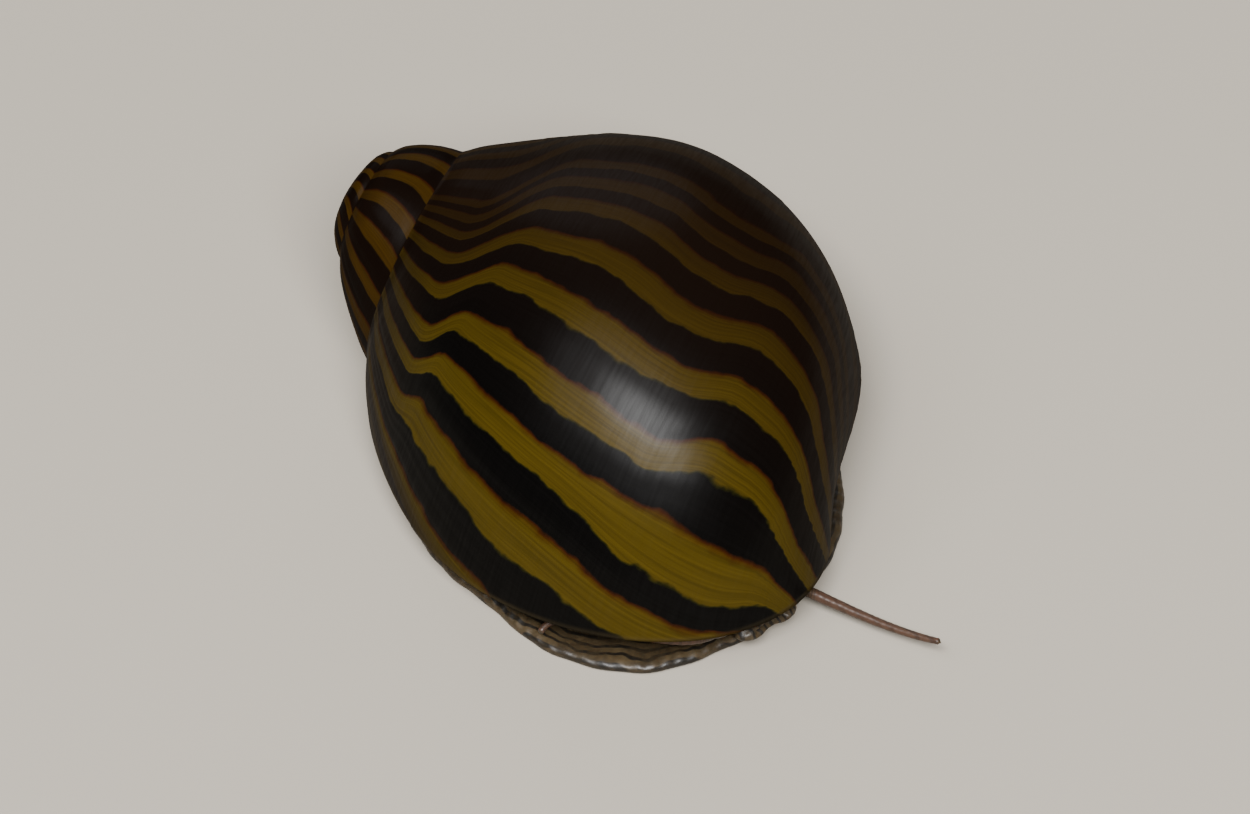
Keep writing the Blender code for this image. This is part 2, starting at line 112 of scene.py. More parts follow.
def shell_surface(theta, angle, sunk=0.0):
    """The section's point at this angle, turned by theta about the axis and scaled by the
    growth to the power of theta in turns. sunk draws the section in, in millimetres. Near
    the apex it is flattened, widened and shifted, all by its depth below the apex."""
    radius = section_radius(angle) - sunk
    grown = WHORL_GROWTH ** (theta / (2 * np.pi))
    depth = grown * (SECTION_BELOW_APEX - radius * np.sin(angle))
    near = np.exp(-((depth / SPIRE_REACH) ** 3))
    distance = grown * (SECTION_FROM_AXIS + radius * np.cos(angle)) * (1 + SPIRE_WIDER * near)
    depth = (depth**4 + SPIRE_WORN**4) ** 0.25
    spiral = np.stack([distance * np.cos(theta), -distance * np.sin(theta), -depth], axis=-1)
    spiral = spiral + near[..., None] * SPIRE_SHIFT
    return padded(spiral @ CARRIED.T + APEX)


def seam_angles():
    """Where the section's outline meets the whorl before it, and the whorl after it."""
    angle = np.linspace(*SEAM_SEARCH)
    radius = section_radius(angle)
    distance = SECTION_FROM_AXIS + radius * np.cos(angle)
    height = radius * np.sin(angle) - SECTION_BELOW_APEX
    across = WHORL_GROWTH * distance - SECTION_FROM_AXIS
    along = WHORL_GROWTH * height + SECTION_BELOW_APEX
    below = np.arctan2(along, across)
    first = np.argmax(np.hypot(across, along) < section_radius(below))
    return angle[first], below[first]


SEAM, SEAM_BELOW = seam_angles()


def base_crossing(theta):
    """The section's angle where the shell comes down to the lip's plane, by linear search."""
    angle = np.linspace(SEAM, BASE_SEARCH_END, BASE_STEPS)
    height = shell_surface(theta[:, None], angle[None, :])[..., 2] - LIP_HEIGHT
    after = np.argmax(height <= 0, axis=1)
    row = np.arange(len(theta))
    above, under = height[row, after - 1], height[row, after]
    return angle[after - 1] + above / (above - under) * (angle[after] - angle[after - 1])


def row_angles():
    """One turn of rows back from the lip's end, spaced evenly by the sum of their share of
    the base outline's length and their share of the turn."""
    fine = np.linspace(*LIP_SEARCH)
    lip_end = fine[np.argmax(shell_surface(fine, np.full_like(fine, SEAM))[:, 2] < LIP_HEIGHT)]
    theta = lip_end - np.linspace(LIP_GAP, 2 * np.pi, OUTLINE_STEPS)
    outline = shell_surface(theta, base_crossing(theta))
    length = np.append(0, np.cumsum(np.linalg.norm(np.diff(outline, axis=0), axis=1)))
    evenly = length / length[-1] + (theta[0] - theta) / (2 * np.pi)
    turned = np.interp(np.linspace(0, evenly[-1], ROWS + 1), evenly, theta)
    turned[0], turned[-1] = lip_end, lip_end - 2 * np.pi
    return turned


# The gold stripes, laid down by the snail's mantle as the lip grows. Each is given where it
# crosses the widest part of the whorl, as the angle back from the lip of its two edges. The
# far side's are spaced almost evenly, and the first ones of the spire are given by middles.
STRIPE_EDGES = [(0.55, 0.68), (0.87, 1.02), (1.16, 1.27), (1.39, 1.50), (1.66, 1.76)]
STRIPE_EDGES += [(1.89, 1.99), (2.11, 2.19), (2.26, 2.35), (2.42, 2.48)]
SPIRE_STRIPES, SPIRE_REST = [6.82, 7.22, 7.6, 7.96, 8.34, 8.72], (9.1, 28.0, 0.39)
FAR_STRIPES, FAR_SHAKE = (2.73, 6.5, 15), 0.04
STRIPE_WIDTHS, WIDTH_SHAKE = (0.12, 0.165), (0.85, 1.2)
# How far stripes bulge back above the base, at the angles of a few growth lines.
BULGE_AT, BULGE = [0.55, 1.02, 1.16, 1.27, 1.40], [-0.05, -0.07, -0.11, 0.01, 0.10]
BULGE_LATER, BULGE_END = (1.22, 1.36), (-1.25, -0.9)
BULGE_RISE, BULGE_RISE_LATER = (-0.1, -0.9), (-0.46, -0.76)
# How far they lean elsewhere, at which angles back from the lip and at which angles of the
# section.
SEAM_LEAN, SEAM_LEAN_MORE, SEAM_LEAN_RANGE, SEAM_LEAN_FADE = 0.17, 0.245, (-1.0, 1.3), (6.0, 3.2)
SEAM_LEAN_MIDDLE = 1.215
BEND_AT, BEND_HALF, BEND_SHARE, BEND_SOFT = 0.92, 0.12, 0.88, (0.15, 0.75)
BEND_WIDER, BEND_WIDER_FROM, BEND_WIDER_OVER = 0.13, 1.35, 0.5
DIP, DIP_AT, DIP_WIDTH, DIP_FROM = 0.035, -0.3, 0.17, (1.5, 2.1)
BASE_LEAN, BASE_FROM, BASE_OVER, BASE_MOST, BASE_POWER = 0.26, 1.06, 0.35, 1.6, 1.3
SPIRE_BOW, SPIRE_BOW_FROM, SPIRE_BOW_MIDDLE = 0.45, (7.1, 8.1), 0.55
LEAN_ROUNDS, LEAN_KEPT = 14, 0.4


def stripe_table():
    """Pairs of angle back from the lip and stripe count. A gold stripe reaches a quarter
    either side of a whole count, so equal counts are black and gold in equal parts."""
    draw = np.random.default_rng(5)
    far = np.linspace(*FAR_STRIPES)
    far = far + draw.uniform(-FAR_SHAKE, FAR_SHAKE, len(far))
    spire = np.append(SPIRE_STRIPES, np.arange(*SPIRE_REST))
    middles = np.append(far, spire)
    widths = np.repeat(STRIPE_WIDTHS, (len(far), len(spire))) * draw.uniform(*WIDTH_SHAKE, len(middles))
    edges = np.concatenate([STRIPE_EDGES, np.stack([middles - widths / 2, middles + widths / 2], axis=1)])
    count = np.arange(len(edges)).repeat(2) + np.tile([-0.25, 0.25], len(edges))
    return edges.ravel(), count


def stripe_count(theta, angle):
    """Stripe count at each point. Stripes run along growth lines, but lean towards the lip
    beside the seam and at the base, bulge back above the base and are bowed on the spire.
    Each lean depends on the line itself, so it is undone by rounds of substitution."""
    back = -theta
    found = back.copy()
    across = (SEAM - angle) / (SEAM - SEAM_BELOW)
    for _ in range(LEAN_ROUNDS):
        lean = SEAM_LEAN + SEAM_LEAN_MORE * np.clip(found - SEAM_LEAN_MIDDLE, *SEAM_LEAN_RANGE)
        half = BEND_HALF + BEND_WIDER * np.clip((found - BEND_WIDER_FROM) / BEND_WIDER_OVER, 0, 1)
        sharp = smooth(0, 1, (angle - BEND_AT + half) / (2 * half))
        bend = BEND_SHARE * sharp + (1 - BEND_SHARE) * smooth(*BEND_SOFT, angle)
        seam_lean = lean * smooth(*SEAM_LEAN_FADE, found) * bend
        later = smooth(*BULGE_LATER, found)
        rise = later * smooth(*BULGE_RISE_LATER, angle) + (1 - later) * smooth(*BULGE_RISE, angle)
        base_bulge = np.interp(found, BULGE_AT, BULGE) * rise * smooth(*BULGE_END, angle)
        dip = DIP * smooth(*DIP_FROM, found) * np.exp(-(((angle - DIP_AT) / DIP_WIDTH) ** 2))
        base_lean = BASE_LEAN * np.clip((-angle - BASE_FROM) / BASE_OVER, 0, BASE_MOST) ** BASE_POWER
        bow = SPIRE_BOW * smooth(*SPIRE_BOW_FROM, found) * np.clip(across - SPIRE_BOW_MIDDLE, -1, 1) ** 2
        moved = back + seam_lean - base_bulge + dip + base_lean + bow
        found = LEAN_KEPT * found + (1 - LEAN_KEPT) * moved
    flat, count = stripe_table()
    first = count[0] + (found - flat[0]) / (2 * (flat[1] - flat[0]))
    return np.where(found < flat[0], first, np.interp(found, flat, count)), found


def growth_ridges(found):
    """Low uneven ridges along the growth lines: seeded heights joined by straight lines."""
    draw = np.random.default_rng(11)
    heights = draw.normal(0, 1, RIDGE_COUNT)
    heights = heights * (1 + RIDGE_TALLER * (draw.uniform(0, 1, RIDGE_COUNT) > RIDGE_TALL_FROM))
    return np.interp(found, np.linspace(-1, RIDGES_END, RIDGE_COUNT), heights)


def shell_rows():
    """The strip as rows of points back from the lip, with each point's stripe count and
    its place across the whorl. Every row after the first turn ends on the seam point of
    the whorl outside it. The first row is one point, where the lip meets the seam."""
    turned = row_angles()
    total = int(ROWS * (1 + SPIRE_TURNS))
    index = np.arange(total + 1)
    theta = turned[index % ROWS] - 2 * np.pi * (index // ROWS)
    last = np.full(total + 1, SEAM_BELOW)
    last[1:ROWS] = base_crossing(theta[1:ROWS])
    share = np.linspace(0, 1, COLUMNS + 1) ** COLUMNS_CROWDED
    angle = SEAM + (last[:, None] - SEAM) * share[None, :]
    theta = np.broadcast_to(theta[:, None], angle.shape)
    count, found = stripe_count(theta, angle)
    fade = smooth(*RIDGE_FADE_SEAM, SEAM - angle) * smooth(*RIDGE_FADE_BASE, angle - last[:, None])
    sunk = SUTURE_DEPTH * np.exp(-(((SEAM - angle) / SUTURE_WIDTH) ** 2))
    points = shell_surface(theta, angle, sunk - RIDGE_HEIGHT * growth_ridges(found) * fade)
    inner = np.arange(ROWS, total + 1)
    shift = points[inner - ROWS, 0] - points[inner, -1]
    weight = np.exp(-(((angle[inner] - SEAM_BELOW) / (SUTURE_REACH * SUTURE_WIDTH)) ** 2))
    points[inner] += shift[:, None, :] * weight[..., None]
    points[1:ROWS, -1, 2] = LIP_HEIGHT
    points[0] = points[0, 0]
    return points, count, angle


# The shell's underside: the lip's thin edge, the flat deck on the left that the foot slides
# under, with a row of small teeth, and the half-moon opening that the body fills.
# A step runs between two shares of the outline.
UNDER_SHARES = np.concatenate([[0.996, 0.988, 0.975, 0.96], np.linspace(0.94, 0.04, 46)])
BEVEL_OUT, BEVEL_BACK, DECK_STEP = (1.0, 0.985), (0.98, 0.93), (0.95, 0.87)
OPENING_STEP, SAG_STEP = (0.90, 0.66), (0.87, 0.3)
DECK_RISE, OPENING_RISE, LIP_BEVEL, DECK_SAG = 1.0, 3.2, 0.07, 0.25
COLUMELLA_X, COLUMELLA_STEP = 1.35, 0.55
TOOTH_SPACING, TOOTH_SIZE, TEETH_MIDDLE, TEETH_FADE = 0.62, 0.16, 1.5, (7.0, 4.0)


def underside(outline):
    """Rings inside the base outline, each a share of it. Their height is a sum of steps:
    the bevelled lip, the deck's rise, and the opening, whose inner edge has small teeth."""
    middle = outline[:, :2].mean(axis=0)
    share = UNDER_SHARES[:, None]
    flat = middle + share[..., None] * (outline[None, :, :2] - middle)
    x, y = flat[..., 0], flat[..., 1]
    lip = LIP_BEVEL * (smooth(*BEVEL_BACK, share) - smooth(*BEVEL_OUT, share))
    deck = DECK_RISE * smooth(*DECK_STEP, share)
    teeth = TOOTH_SIZE * np.maximum(0, np.cos(2 * np.pi * y / TOOTH_SPACING))
    teeth = teeth * smooth(*TEETH_FADE, np.abs(y - TEETH_MIDDLE))
    right = smooth(COLUMELLA_X + COLUMELLA_STEP, COLUMELLA_X, x + teeth)
    opening = (OPENING_RISE - DECK_RISE) * smooth(*OPENING_STEP, share) * right
    sag = DECK_SAG * smooth(*SAG_STEP, share) * (1 - right)
    height = LIP_HEIGHT + lip + deck + opening - sag
    return np.concatenate([flat, height[..., None]], axis=-1)


def strip_faces(rows):
    """Corner numbers of the quads between neighbouring rows and columns of a number grid.
    They face the side from which columns run to the left where rows run down."""
    upper, lower = rows[:-1], rows[1:]
    return np.stack([upper[:, :-1], upper[:, 1:], lower[:, 1:], lower[:, :-1]], axis=-1).reshape(-1, 4)


def mesh_object(name, points, faces, coordinates=None):
    """A smooth-shaded object from points in millimetres and faces of four corners, where a
    corner that repeats makes a triangle. coordinates gives each face corner's u and v."""
    keep = np.ones(faces.shape, bool)
    for corner in range(4):
        keep[:, corner] = faces[:, corner] != faces[:, corner - 1]
    sizes = keep.sum(axis=1)
    whole = sizes > 2
    faces, keep, sizes = faces[whole], keep[whole], sizes[whole]
    mesh = bpy.data.meshes.new(name)
    mesh.vertices.add(len(points))
    mesh.vertices.foreach_set("co", (points * MM).astype(np.float32).ravel())
    mesh.loops.add(int(sizes.sum()))
    mesh.loops.foreach_set("vertex_index", faces[keep].astype(np.int32))
    mesh.polygons.add(len(faces))
    mesh.polygons.foreach_set("loop_start", (np.cumsum(sizes) - sizes).astype(np.int32))
    mesh.update(calc_edges=True)
    if coordinates is not None:
        layer = mesh.uv_layers.new(name="growth")
        layer.data.foreach_set("uv", coordinates[whole][keep].astype(np.float32).ravel())
    mesh.shade_smooth()
    made = bpy.data.objects.new(name, mesh)
    bpy.context.scene.collection.objects.link(made)
    return made


def make_shell():
    """Numbers the strip's points so that neighbouring whorls share their seam, adds the
    underside's rings and a low cap on the worn tip, and joins all of it as one skin."""
    points, count, angle = shell_rows()
    total = len(points) - 1
    number = np.arange(points[..., 0].size).reshape(points.shape[:2])
    number[0] = number[0, 0]
    for first in range(ROWS, total + 1, ROWS):
        run = np.arange(first, min(first + ROWS, total + 1))
        number[run, -1] = number[run - ROWS, 0]
    outer = strip_faces(number)
    uv = np.stack([count, angle], axis=-1)
    uv[0] = uv[1]
    place = strip_faces(np.arange(number.size).reshape(number.shape))
    outer_uv = uv.reshape(-1, 2)[place]

    base = number[:ROWS, -1]
    outline = points[:ROWS, -1].copy()
    outline[0] = points[0, 0]
    under = underside(outline)
    under_number = number.size + np.arange(under[..., 0].size).reshape(under.shape[:2])
    centre = under_number.max() + 1
    rings = np.vstack([base, under_number, np.full(ROWS, centre)])
    rings = np.hstack([rings, rings[:, :1]])
    inner = strip_faces(rings)[:, ::-1]
    base_count = np.append(count[:ROWS, -1], count[0, -1])
    base_count[0] = base_count[-1] = base_count[1]
    depth = np.concatenate([[1.0], UNDER_SHARES, [0.0]])
    ring_uv = np.stack(np.broadcast_arrays(base_count[None, :], -3.0 + depth[:, None]), axis=-1)
    inner_place = strip_faces(np.arange(rings.size).reshape(rings.shape))[:, ::-1]
    inner_uv = ring_uv.reshape(-1, 2)[inner_place]

    tip = np.concatenate([number[total - ROWS :, 0], number[total, 1:-1]])
    cap = centre + 1
    around = np.roll(tip, -1)
    caps = np.stack([tip, around, np.full_like(tip, cap), np.full_like(tip, cap)], axis=-1)
    cap_uv = np.full((len(caps), 4, 2), CAP_COUNT)
    cap_point = points[total - ROWS :, 0].mean(axis=0) + TIP_RISE * CARRIED[:, 2]
    ends = np.stack([under[-1].mean(axis=0), cap_point])
    every = np.concatenate([points.reshape(-1, 3), under.reshape(-1, 3), ends])
    every = SHELL_MIDDLE + SHELL_SHARE * (every - SHELL_MIDDLE)
    faces = np.concatenate([outer, inner, caps])
    coordinates = np.concatenate([outer_uv, inner_uv, cap_uv])
    used = np.unique(faces)
    new = np.full(len(every), -1)
    new[used] = np.arange(len(used))
    return mesh_object("snail_shell", every[used], new[faces], coordinates)


shell = make_shell()


def set_sockets(tree, node, inputs):
    """Sets a node's sockets, by name or by number after a low line, to values, or links them."""
    for name, value in inputs.items():
        socket = node.inputs[int(name[1:])] if name[1:].isdigit() else node.inputs[name]
        if isinstance(value, bpy.types.NodeSocket):
            tree.links.new(value, socket)
        else:
            socket.default_value = value


def add_node(tree, kind, settings=None, **inputs):
    """A new node with these settings, its sockets set or linked."""
    node = tree.nodes.new(kind)
    for name, value in (settings or {}).items():
        setattr(node, name, value)
    set_sockets(tree, node, inputs)
    return node


def calculate(tree, operation, *values, clamp=False):
    """The result of this operation on numbers or sockets."""
    numbered = {f"_{place}": value for place, value in enumerate(values)}
    settings = {"operation": operation, "use_clamp": clamp}
    return add_node(tree, "ShaderNodeMath", settings, **numbered).outputs[0]


def rescale(tree, value, low, high, at_low=0.0, at_high=1.0, kind="LINEAR"):
    """Runs from at_low where value is low to at_high where it is high, and no further."""
    settings = {"interpolation_type": kind}
    ends = {"_0": value, "_1": low, "_2": high, "_3": at_low, "_4": at_high}
    return add_node(tree, "ShaderNodeMapRange", settings, **ends).outputs[0]


def ease(tree, value, low, high, at_low=0.0, at_high=1.0):
    """The same as rescale, but level at both ends."""
    return rescale(tree, value, low, high, at_low, at_high, "SMOOTHSTEP")


def mix(tree, share, first, second, blend="MIX"):
    """Goes from the first colour to the second by share. Each is a colour or a socket."""
    both = [c if isinstance(c, bpy.types.NodeSocket) else (*c, 1) for c in (first, second)]
    settings = {"data_type": "RGBA", "blend_type": blend}
    return add_node(tree, "ShaderNodeMix", settings, _0=share, _6=both[0], _7=both[1]).outputs[2]


def noise(tree, place, scale, detail=2.0, dimensions="3D"):
    """Smooth noise of values near a half, its patches smaller as scale grows."""
    settings = {"noise_dimensions": dimensions}
    made = add_node(tree, "ShaderNodeTexNoise", settings, Vector=place, Scale=scale, Detail=detail)
    return made.outputs["Fac"]


def bumped(tree, height, strength, distance):
    """The normal that leans with this height. The distance is in metres."""
    made = add_node(tree, "ShaderNodeBump", Height=height, Strength=strength, Distance=distance)
    return made.outputs["Normal"]


def new_group(name, inputs, outputs):
    """An empty shader node group. Inputs are names and default values, where none makes a
    vector. Outputs are names of single numbers."""
    group = bpy.data.node_groups.new(name, "ShaderNodeTree")
    for title, value in inputs:
        kind = "NodeSocketVector" if value is None else "NodeSocketFloat"
        socket = group.interface.new_socket(title, in_out="INPUT", socket_type=kind)
        if value is not None:
            socket.default_value = value
    for title in outputs:
        group.interface.new_socket(title, in_out="OUTPUT", socket_type="NodeSocketFloat")
    return group, group.nodes.new("NodeGroupInput"), group.nodes.new("NodeGroupOutput")


def new_material(name):
    """An empty material, its nodes and its shader."""
    made = bpy.data.materials.new(name)
    made.use_nodes = True
    return made, made.node_tree, made.node_tree.nodes["Principled BSDF"]


LINE_STRETCH, LINE_DETAIL = 1.6, 3.0


def growth_line_group():
    """Fine uneven lines along the growth lines, from noise stretched across the whorl, and
    fainter ones the other way. Both come from the stripe count and the place across."""
    inputs = [("Place", None), ("Lines", 30.0), ("Spiral", 40.0)]
    group, given, result = new_group("growth_lines", inputs, ["Growth", "Cross"])
    split = add_node(group, "ShaderNodeSeparateXYZ", Vector=given.outputs["Place"])
    for name, rate, along, across in (("Growth", "Lines", "X", "Y"), ("Cross", "Spiral", "Y", "X")):
        fast = calculate(group, "MULTIPLY", split.outputs[along], given.outputs[rate])
        slow = calculate(group, "MULTIPLY", split.outputs[across], LINE_STRETCH)
        place = add_node(group, "ShaderNodeCombineXYZ", X=fast, Y=slow)
        lines = noise(group, place.outputs[0], 1.0, LINE_DETAIL, "2D")
        group.links.new(lines, result.inputs[name])
    return group


GROWTH_LINES = growth_line_group()


def growth_lines(tree, place, lines, spiral):
    """The growth lines and those across them, at these numbers of lines."""
    settings = {"node_tree": GROWTH_LINES}
    made = add_node(tree, "ShaderNodeGroup", settings, Place=place, Lines=lines, Spiral=spiral)
    return made.outputs["Growth"], made.outputs["Cross"]


SHELL_BLACK, SHELL_GOLD = (0.0014, 0.0012, 0.0011), (0.040, 0.0262, 0.002)
SHELL_GOLD_UP, SHELL_FRINGE = (0.03, 0.014, 0.001), (0.022, 0.0055, 0.0008)
# The second colour on the next line, a flat dark brown, is painted shade.
SHELL_OLIVE, SHELL_PAINTED_SHADE = (0.008, 0.0075, 0.001), (0.006, 0.0029, 0.0016)
SHELL_RIM, SHELL_WORN, SHELL_REDDER = (0.05, 0.036, 0.015), (0.035, 0.022, 0.012), (1.0, 0.76, 0.7)
STRIPE_STOPS = [(0.0, SHELL_BLACK), (0.232, SHELL_BLACK), (0.25, SHELL_OLIVE), (0.275, SHELL_GOLD)]
STRIPE_STOPS += [(0.66, SHELL_GOLD), (0.715, SHELL_GOLD_UP), (0.745, SHELL_FRINGE), (0.778, SHELL_BLACK)]
STRIPE_WAVER, WAVER_SCALE = 0.26, 330.0
STRIPE_JAG, JAG_SCALE, JAG_DETAIL = 0.17, 900.0, 3.0
# Where each effect starts and ends, in stripe count or in the place across the whorl, and
# how strong it is there.
REDDER_BACK = (2.0, 9.0)
# The painted shade is a flat dark brown laid beside the seam, over the top and on the spire, where the shell
# is only darker in shade; the same brown is laid towards the lip.
SEAM_PAINTED_SHADE, LIP_DARKENING = (0.85, 1.4, 0.0, 0.62), (0.45, -0.3, 0.0, 0.8)
TOP_PAINTED_SHADE, FAR_SIDE_LESS_SHADE, SPIRE_PAINTED_SHADE = (1.6, 7.2, 0.0, 0.84), (9.8, 13.0, 1.0, 0.22), (19.0, 23.0, 1.0, 2.6)
LIP_RUBBED = (2.3 * MM, 2.05 * MM, 0.0, 0.55)
TIP_RUBBED, TIP_WAVER = (54.0, 62.0, 0.0, 0.75), 16.0
GROWTH_COUNT, SPIRAL_COUNT = 26.0, 60.0
LINES_FAINT, LINES_STRONG = 0.3, 0.7
STREAK_TONES, LINE_GLOSS, BACK_GLOSS = (0.8, 1.18), (0.17, 0.125), (6.0, 12.0, 1.0, 0.45)
CROSS_RELIEF, SHELL_BUMP = 0.12, (0.22, 0.03 * MM)


def shell_material():
    """Black shell with gold stripes read from the stripe count, wavering by noise. Each
    stripe has a red-brown edge away from the lip and an olive one towards it. Painted shade,
    a flat dark brown, lies beside the seam and over the top, where the gold is redder, and
    the same brown lies towards the lip. The gloss is soft, broken by growth lines and
    weaker at the back."""
    made, tree, shader = new_material("shell_black_and_gold")
    place = add_node(tree, "ShaderNodeUVMap", {"uv_map": "growth"}).outputs["UV"]
    split = add_node(tree, "ShaderNodeSeparateXYZ", Vector=place)
    where = add_node(tree, "ShaderNodeTexCoord").outputs["Object"]
    count, across = split.outputs["X"], split.outputs["Y"]

    waver = noise(tree, where, WAVER_SCALE)
    jag = noise(tree, where, JAG_SCALE, JAG_DETAIL)
    bent = calculate(tree, "MULTIPLY_ADD", waver, STRIPE_WAVER, count)
    bent = calculate(tree, "MULTIPLY_ADD", jag, STRIPE_JAG, bent)
    bent = calculate(tree, "ADD", bent, 0.5 - 0.5 * (STRIPE_WAVER + STRIPE_JAG))
    ramp = add_node(tree, "ShaderNodeValToRGB", Fac=calculate(tree, "FRACT", bent))
    elements = ramp.color_ramp.elements
    while len(elements) < len(STRIPE_STOPS):
        elements.new(1.0)
    for element, (position, colour) in zip(elements, STRIPE_STOPS):
        element.position = position
        element.color = (*colour, 1)

    growth, cross = growth_lines(tree, place, GROWTH_COUNT, SPIRAL_COUNT)
    streak = rescale(tree, growth, LINES_FAINT, LINES_STRONG, *STREAK_TONES)
    colour = mix(tree, 1.0, ramp.outputs["Color"], streak, "MULTIPLY")
    colour = mix(tree, ease(tree, count, *REDDER_BACK), colour, SHELL_REDDER, "MULTIPLY")

    # Painted shade: dark brown over the top, the far side and the spire, and beside the seam; the same brown
    # is laid towards the lip.
    top = calculate(tree, "MULTIPLY", ease(tree, count, *TOP_PAINTED_SHADE), ease(tree, count, *SPIRE_PAINTED_SHADE))
    top = calculate(tree, "MULTIPLY", top, ease(tree, count, *FAR_SIDE_LESS_SHADE))
    painted_shade = calculate(tree, "MAXIMUM", ease(tree, across, *SEAM_PAINTED_SHADE), top)
    painted_shade = calculate(tree, "MAXIMUM", painted_shade, ease(tree, count, *LIP_DARKENING))
    colour = mix(tree, painted_shade, colour, SHELL_PAINTED_SHADE)
    height = add_node(tree, "ShaderNodeSeparateXYZ", Vector=where).outputs["Z"]
    rim = calculate(tree, "MULTIPLY", ease(tree, height, *LIP_RUBBED), waver)
    colour = mix(tree, rim, colour, SHELL_RIM)
    tip = calculate(tree, "MULTIPLY_ADD", waver, TIP_WAVER, count)
    colour = mix(tree, ease(tree, tip, *TIP_RUBBED), colour, SHELL_WORN)

    gloss = rescale(tree, cross, LINES_FAINT, LINES_STRONG, *LINE_GLOSS)
    gloss = calculate(tree, "MULTIPLY", gloss, ease(tree, count, *BACK_GLOSS))
    relief = calculate(tree, "MULTIPLY_ADD", cross, CROSS_RELIEF, growth)
    sockets = {"Base Color": colour, "Normal": bumped(tree, relief, *SHELL_BUMP), "Roughness": 0.5}
    sockets |= {"Specular IOR Level": 0.0, "Coat Weight": gloss, "Coat Roughness": 0.3, "Coat IOR": 1.5}
    set_sockets(tree, shader, sockets)
    return made


shell.data.materials.append(shell_material())
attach(shell, "root")
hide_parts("shell")


# The soft body, all one moist skin: the foot that it crawls on, the head with its snout,
# brows, lips and mouth, the feelers and eye stalks, and the mantle that fills the opening.
# Each is lofted as a closed form, and then all are fused, smoothed and finely wrinkled.
# The foot: how far it reaches, how square its corners are, and its waves as their number
# round the foot, start and height.
FOOT_CENTRE = np.array([-0.9, 0.45])
FOOT_RIGHT, FOOT_LEFT, FOOT_FRONT, FOOT_REAR = 8.55, 8.85, 9.65, 9.25
FOOT_CORNERS = {"front_right": 3.2, "front_left": 1.85, "rear_left": 2.1, "rear_right": 2.2}
FOOT_WAVES = ((7, 0.6, 0.006), (12, 2.1, 0.005), (31, 0.0, 0.003))
MARGIN_HEIGHT, TAIL_HEIGHT, NECK_HEIGHT, TAIL_FROM = 0.5, 1.0, 1.85, (-5.0, 0.0)
MARGIN_GROOVE, GROOVE_AT, GROOVE_WIDTH = 0.06, 0.9, 0.03
MARGIN_EDGE = [(0.99, 0.05), (0.998, 0.15), (1.0, 0.26), (0.992, 0.38), (0.975, 0.46)]
NECK_CENTRE, NECK_HALF, NECK_COLUMN = (-3.0, -1.2), (4.2, 3.8), (3.2, 3.0)
NECK_LOW, NECK_HIGH = 1.0, 2.8
RIM_SHARE, OPENING_TOP_SHARE, MANTLE_BOTTOM, MANTLE_TOP, MANTLE_FRONT = 0.82, 0.58, 2.2, 4.85, -5.25
# The head: its width and top, and its chin, at shares of its length towards the snout.
HEAD_X, HEAD_BACK, SNOUT_TIP = -1.9, -4.7, -9.93
HEAD_SHARES = [0, 0.24, 0.4, 0.53, 0.65, 0.78, 0.91, 0.965, 1.0]
HEAD_WIDTHS = [3.4, 4.7, 4.9, 4.4, 3.7, 3.05, 2.85, 2.5, 1.5]
HEAD_TOPS = [3.4, 3.4, 3.1, 2.2, 1.72, 1.6, 1.5, 1.38, 1.15]
CHIN_SHARES, CHIN_HEIGHTS = [0, 0.5, 0.66, 0.9, 1.0], [0.6, 0.5, 0.72, 0.8, 0.95]
BROW_OUT, BROW_Y, BROW_HEIGHT, BROW_RADIUS, BROW_THICK = 1.78, -8.3, 1.3, 0.58, 0.47
LIP_OUT, LIP_BACK, LIP_RADII = 0.75, 0.45, (0.82, 0.55, 0.3)
MOUTH_HEIGHT, MOUTH_HALF, MOUTH_DEPTH, MOUTH_THICK, MOUTH_WAVE = 1.12, 0.95, 0.42, 0.075, 0.05
# The feelers: four points that steer each one's curve. The stalks: rings along each one.
FEELERS = {
    "left": ((0.05, -8.95, 1.3), (0.9, -11.05, 1.1), (1.7, -13.1, 0.75), (2.48, -15.1, 1.25)),
    "right": ((-3.6, -8.95, 1.3), (-6.75, -9.4, 1.3), (-7.6, -3.2, 1.6), (-9.28, -4.33, 0.97)),
}
FEELER_ROOT, FEELER_TIP, FEELER_FLARE, FLARE_REACH = 0.25, 0.13, 0.16, 0.035
FEELER_RINGS, RING_HEIGHT, ROUND_FROM, ROUND_LENGTH = 150, 0.03, 0.985, 0.0155
FEELER_STEPS, MADE_ROUND, ROUND_EASE, COLOUR_EASE = 400, (28, 392), (28, 60), (20, 70)
STALK_DIRECTION = (0.9, 0.42, 0.1)
STALK_RADIUS, STALK_LENGTH = 0.34, 1.11
STALK_SHARES = np.array([0, 0, 0.3, 0.6, 0.8, 0.93, 1.0, 0.97, 0.95])
STALK_WIDTHS = np.array([0, 1.25, 1.1, 1.0, 0.96, 0.9, 0.74, 0.4, 0])
SKIN_GRAIN, EVENED_BY, EVENED_ROUNDS = 0.107, 0.5, 5
WRINKLE, WRINKLE_RATE, WRINKLE_FROM, WRINKLE_ABOVE = 0.025, 17, (-6.3, -7.2), (0.95, 1.3)
WRINKLE_ASIDE, MOUTH_ENDS, MOUTH_FROM = (3.2, 2.2), (1.0, 0.8), (-9.2, -9.5)
PUCKER, PUCKER_RATE, PUCKER_OUT, PUCKER_ABOVE = 0.022, 95, (0.86, 0.96), (0.1, 0.3)
FOOT_BELOW, FOOT_WITHIN, SOLE_BELOW = 1.2, 1.03, 0.04
FOOT_LINES, HEAD_LINES, FEELER_LINE = 9.0, 1.3, 2.0


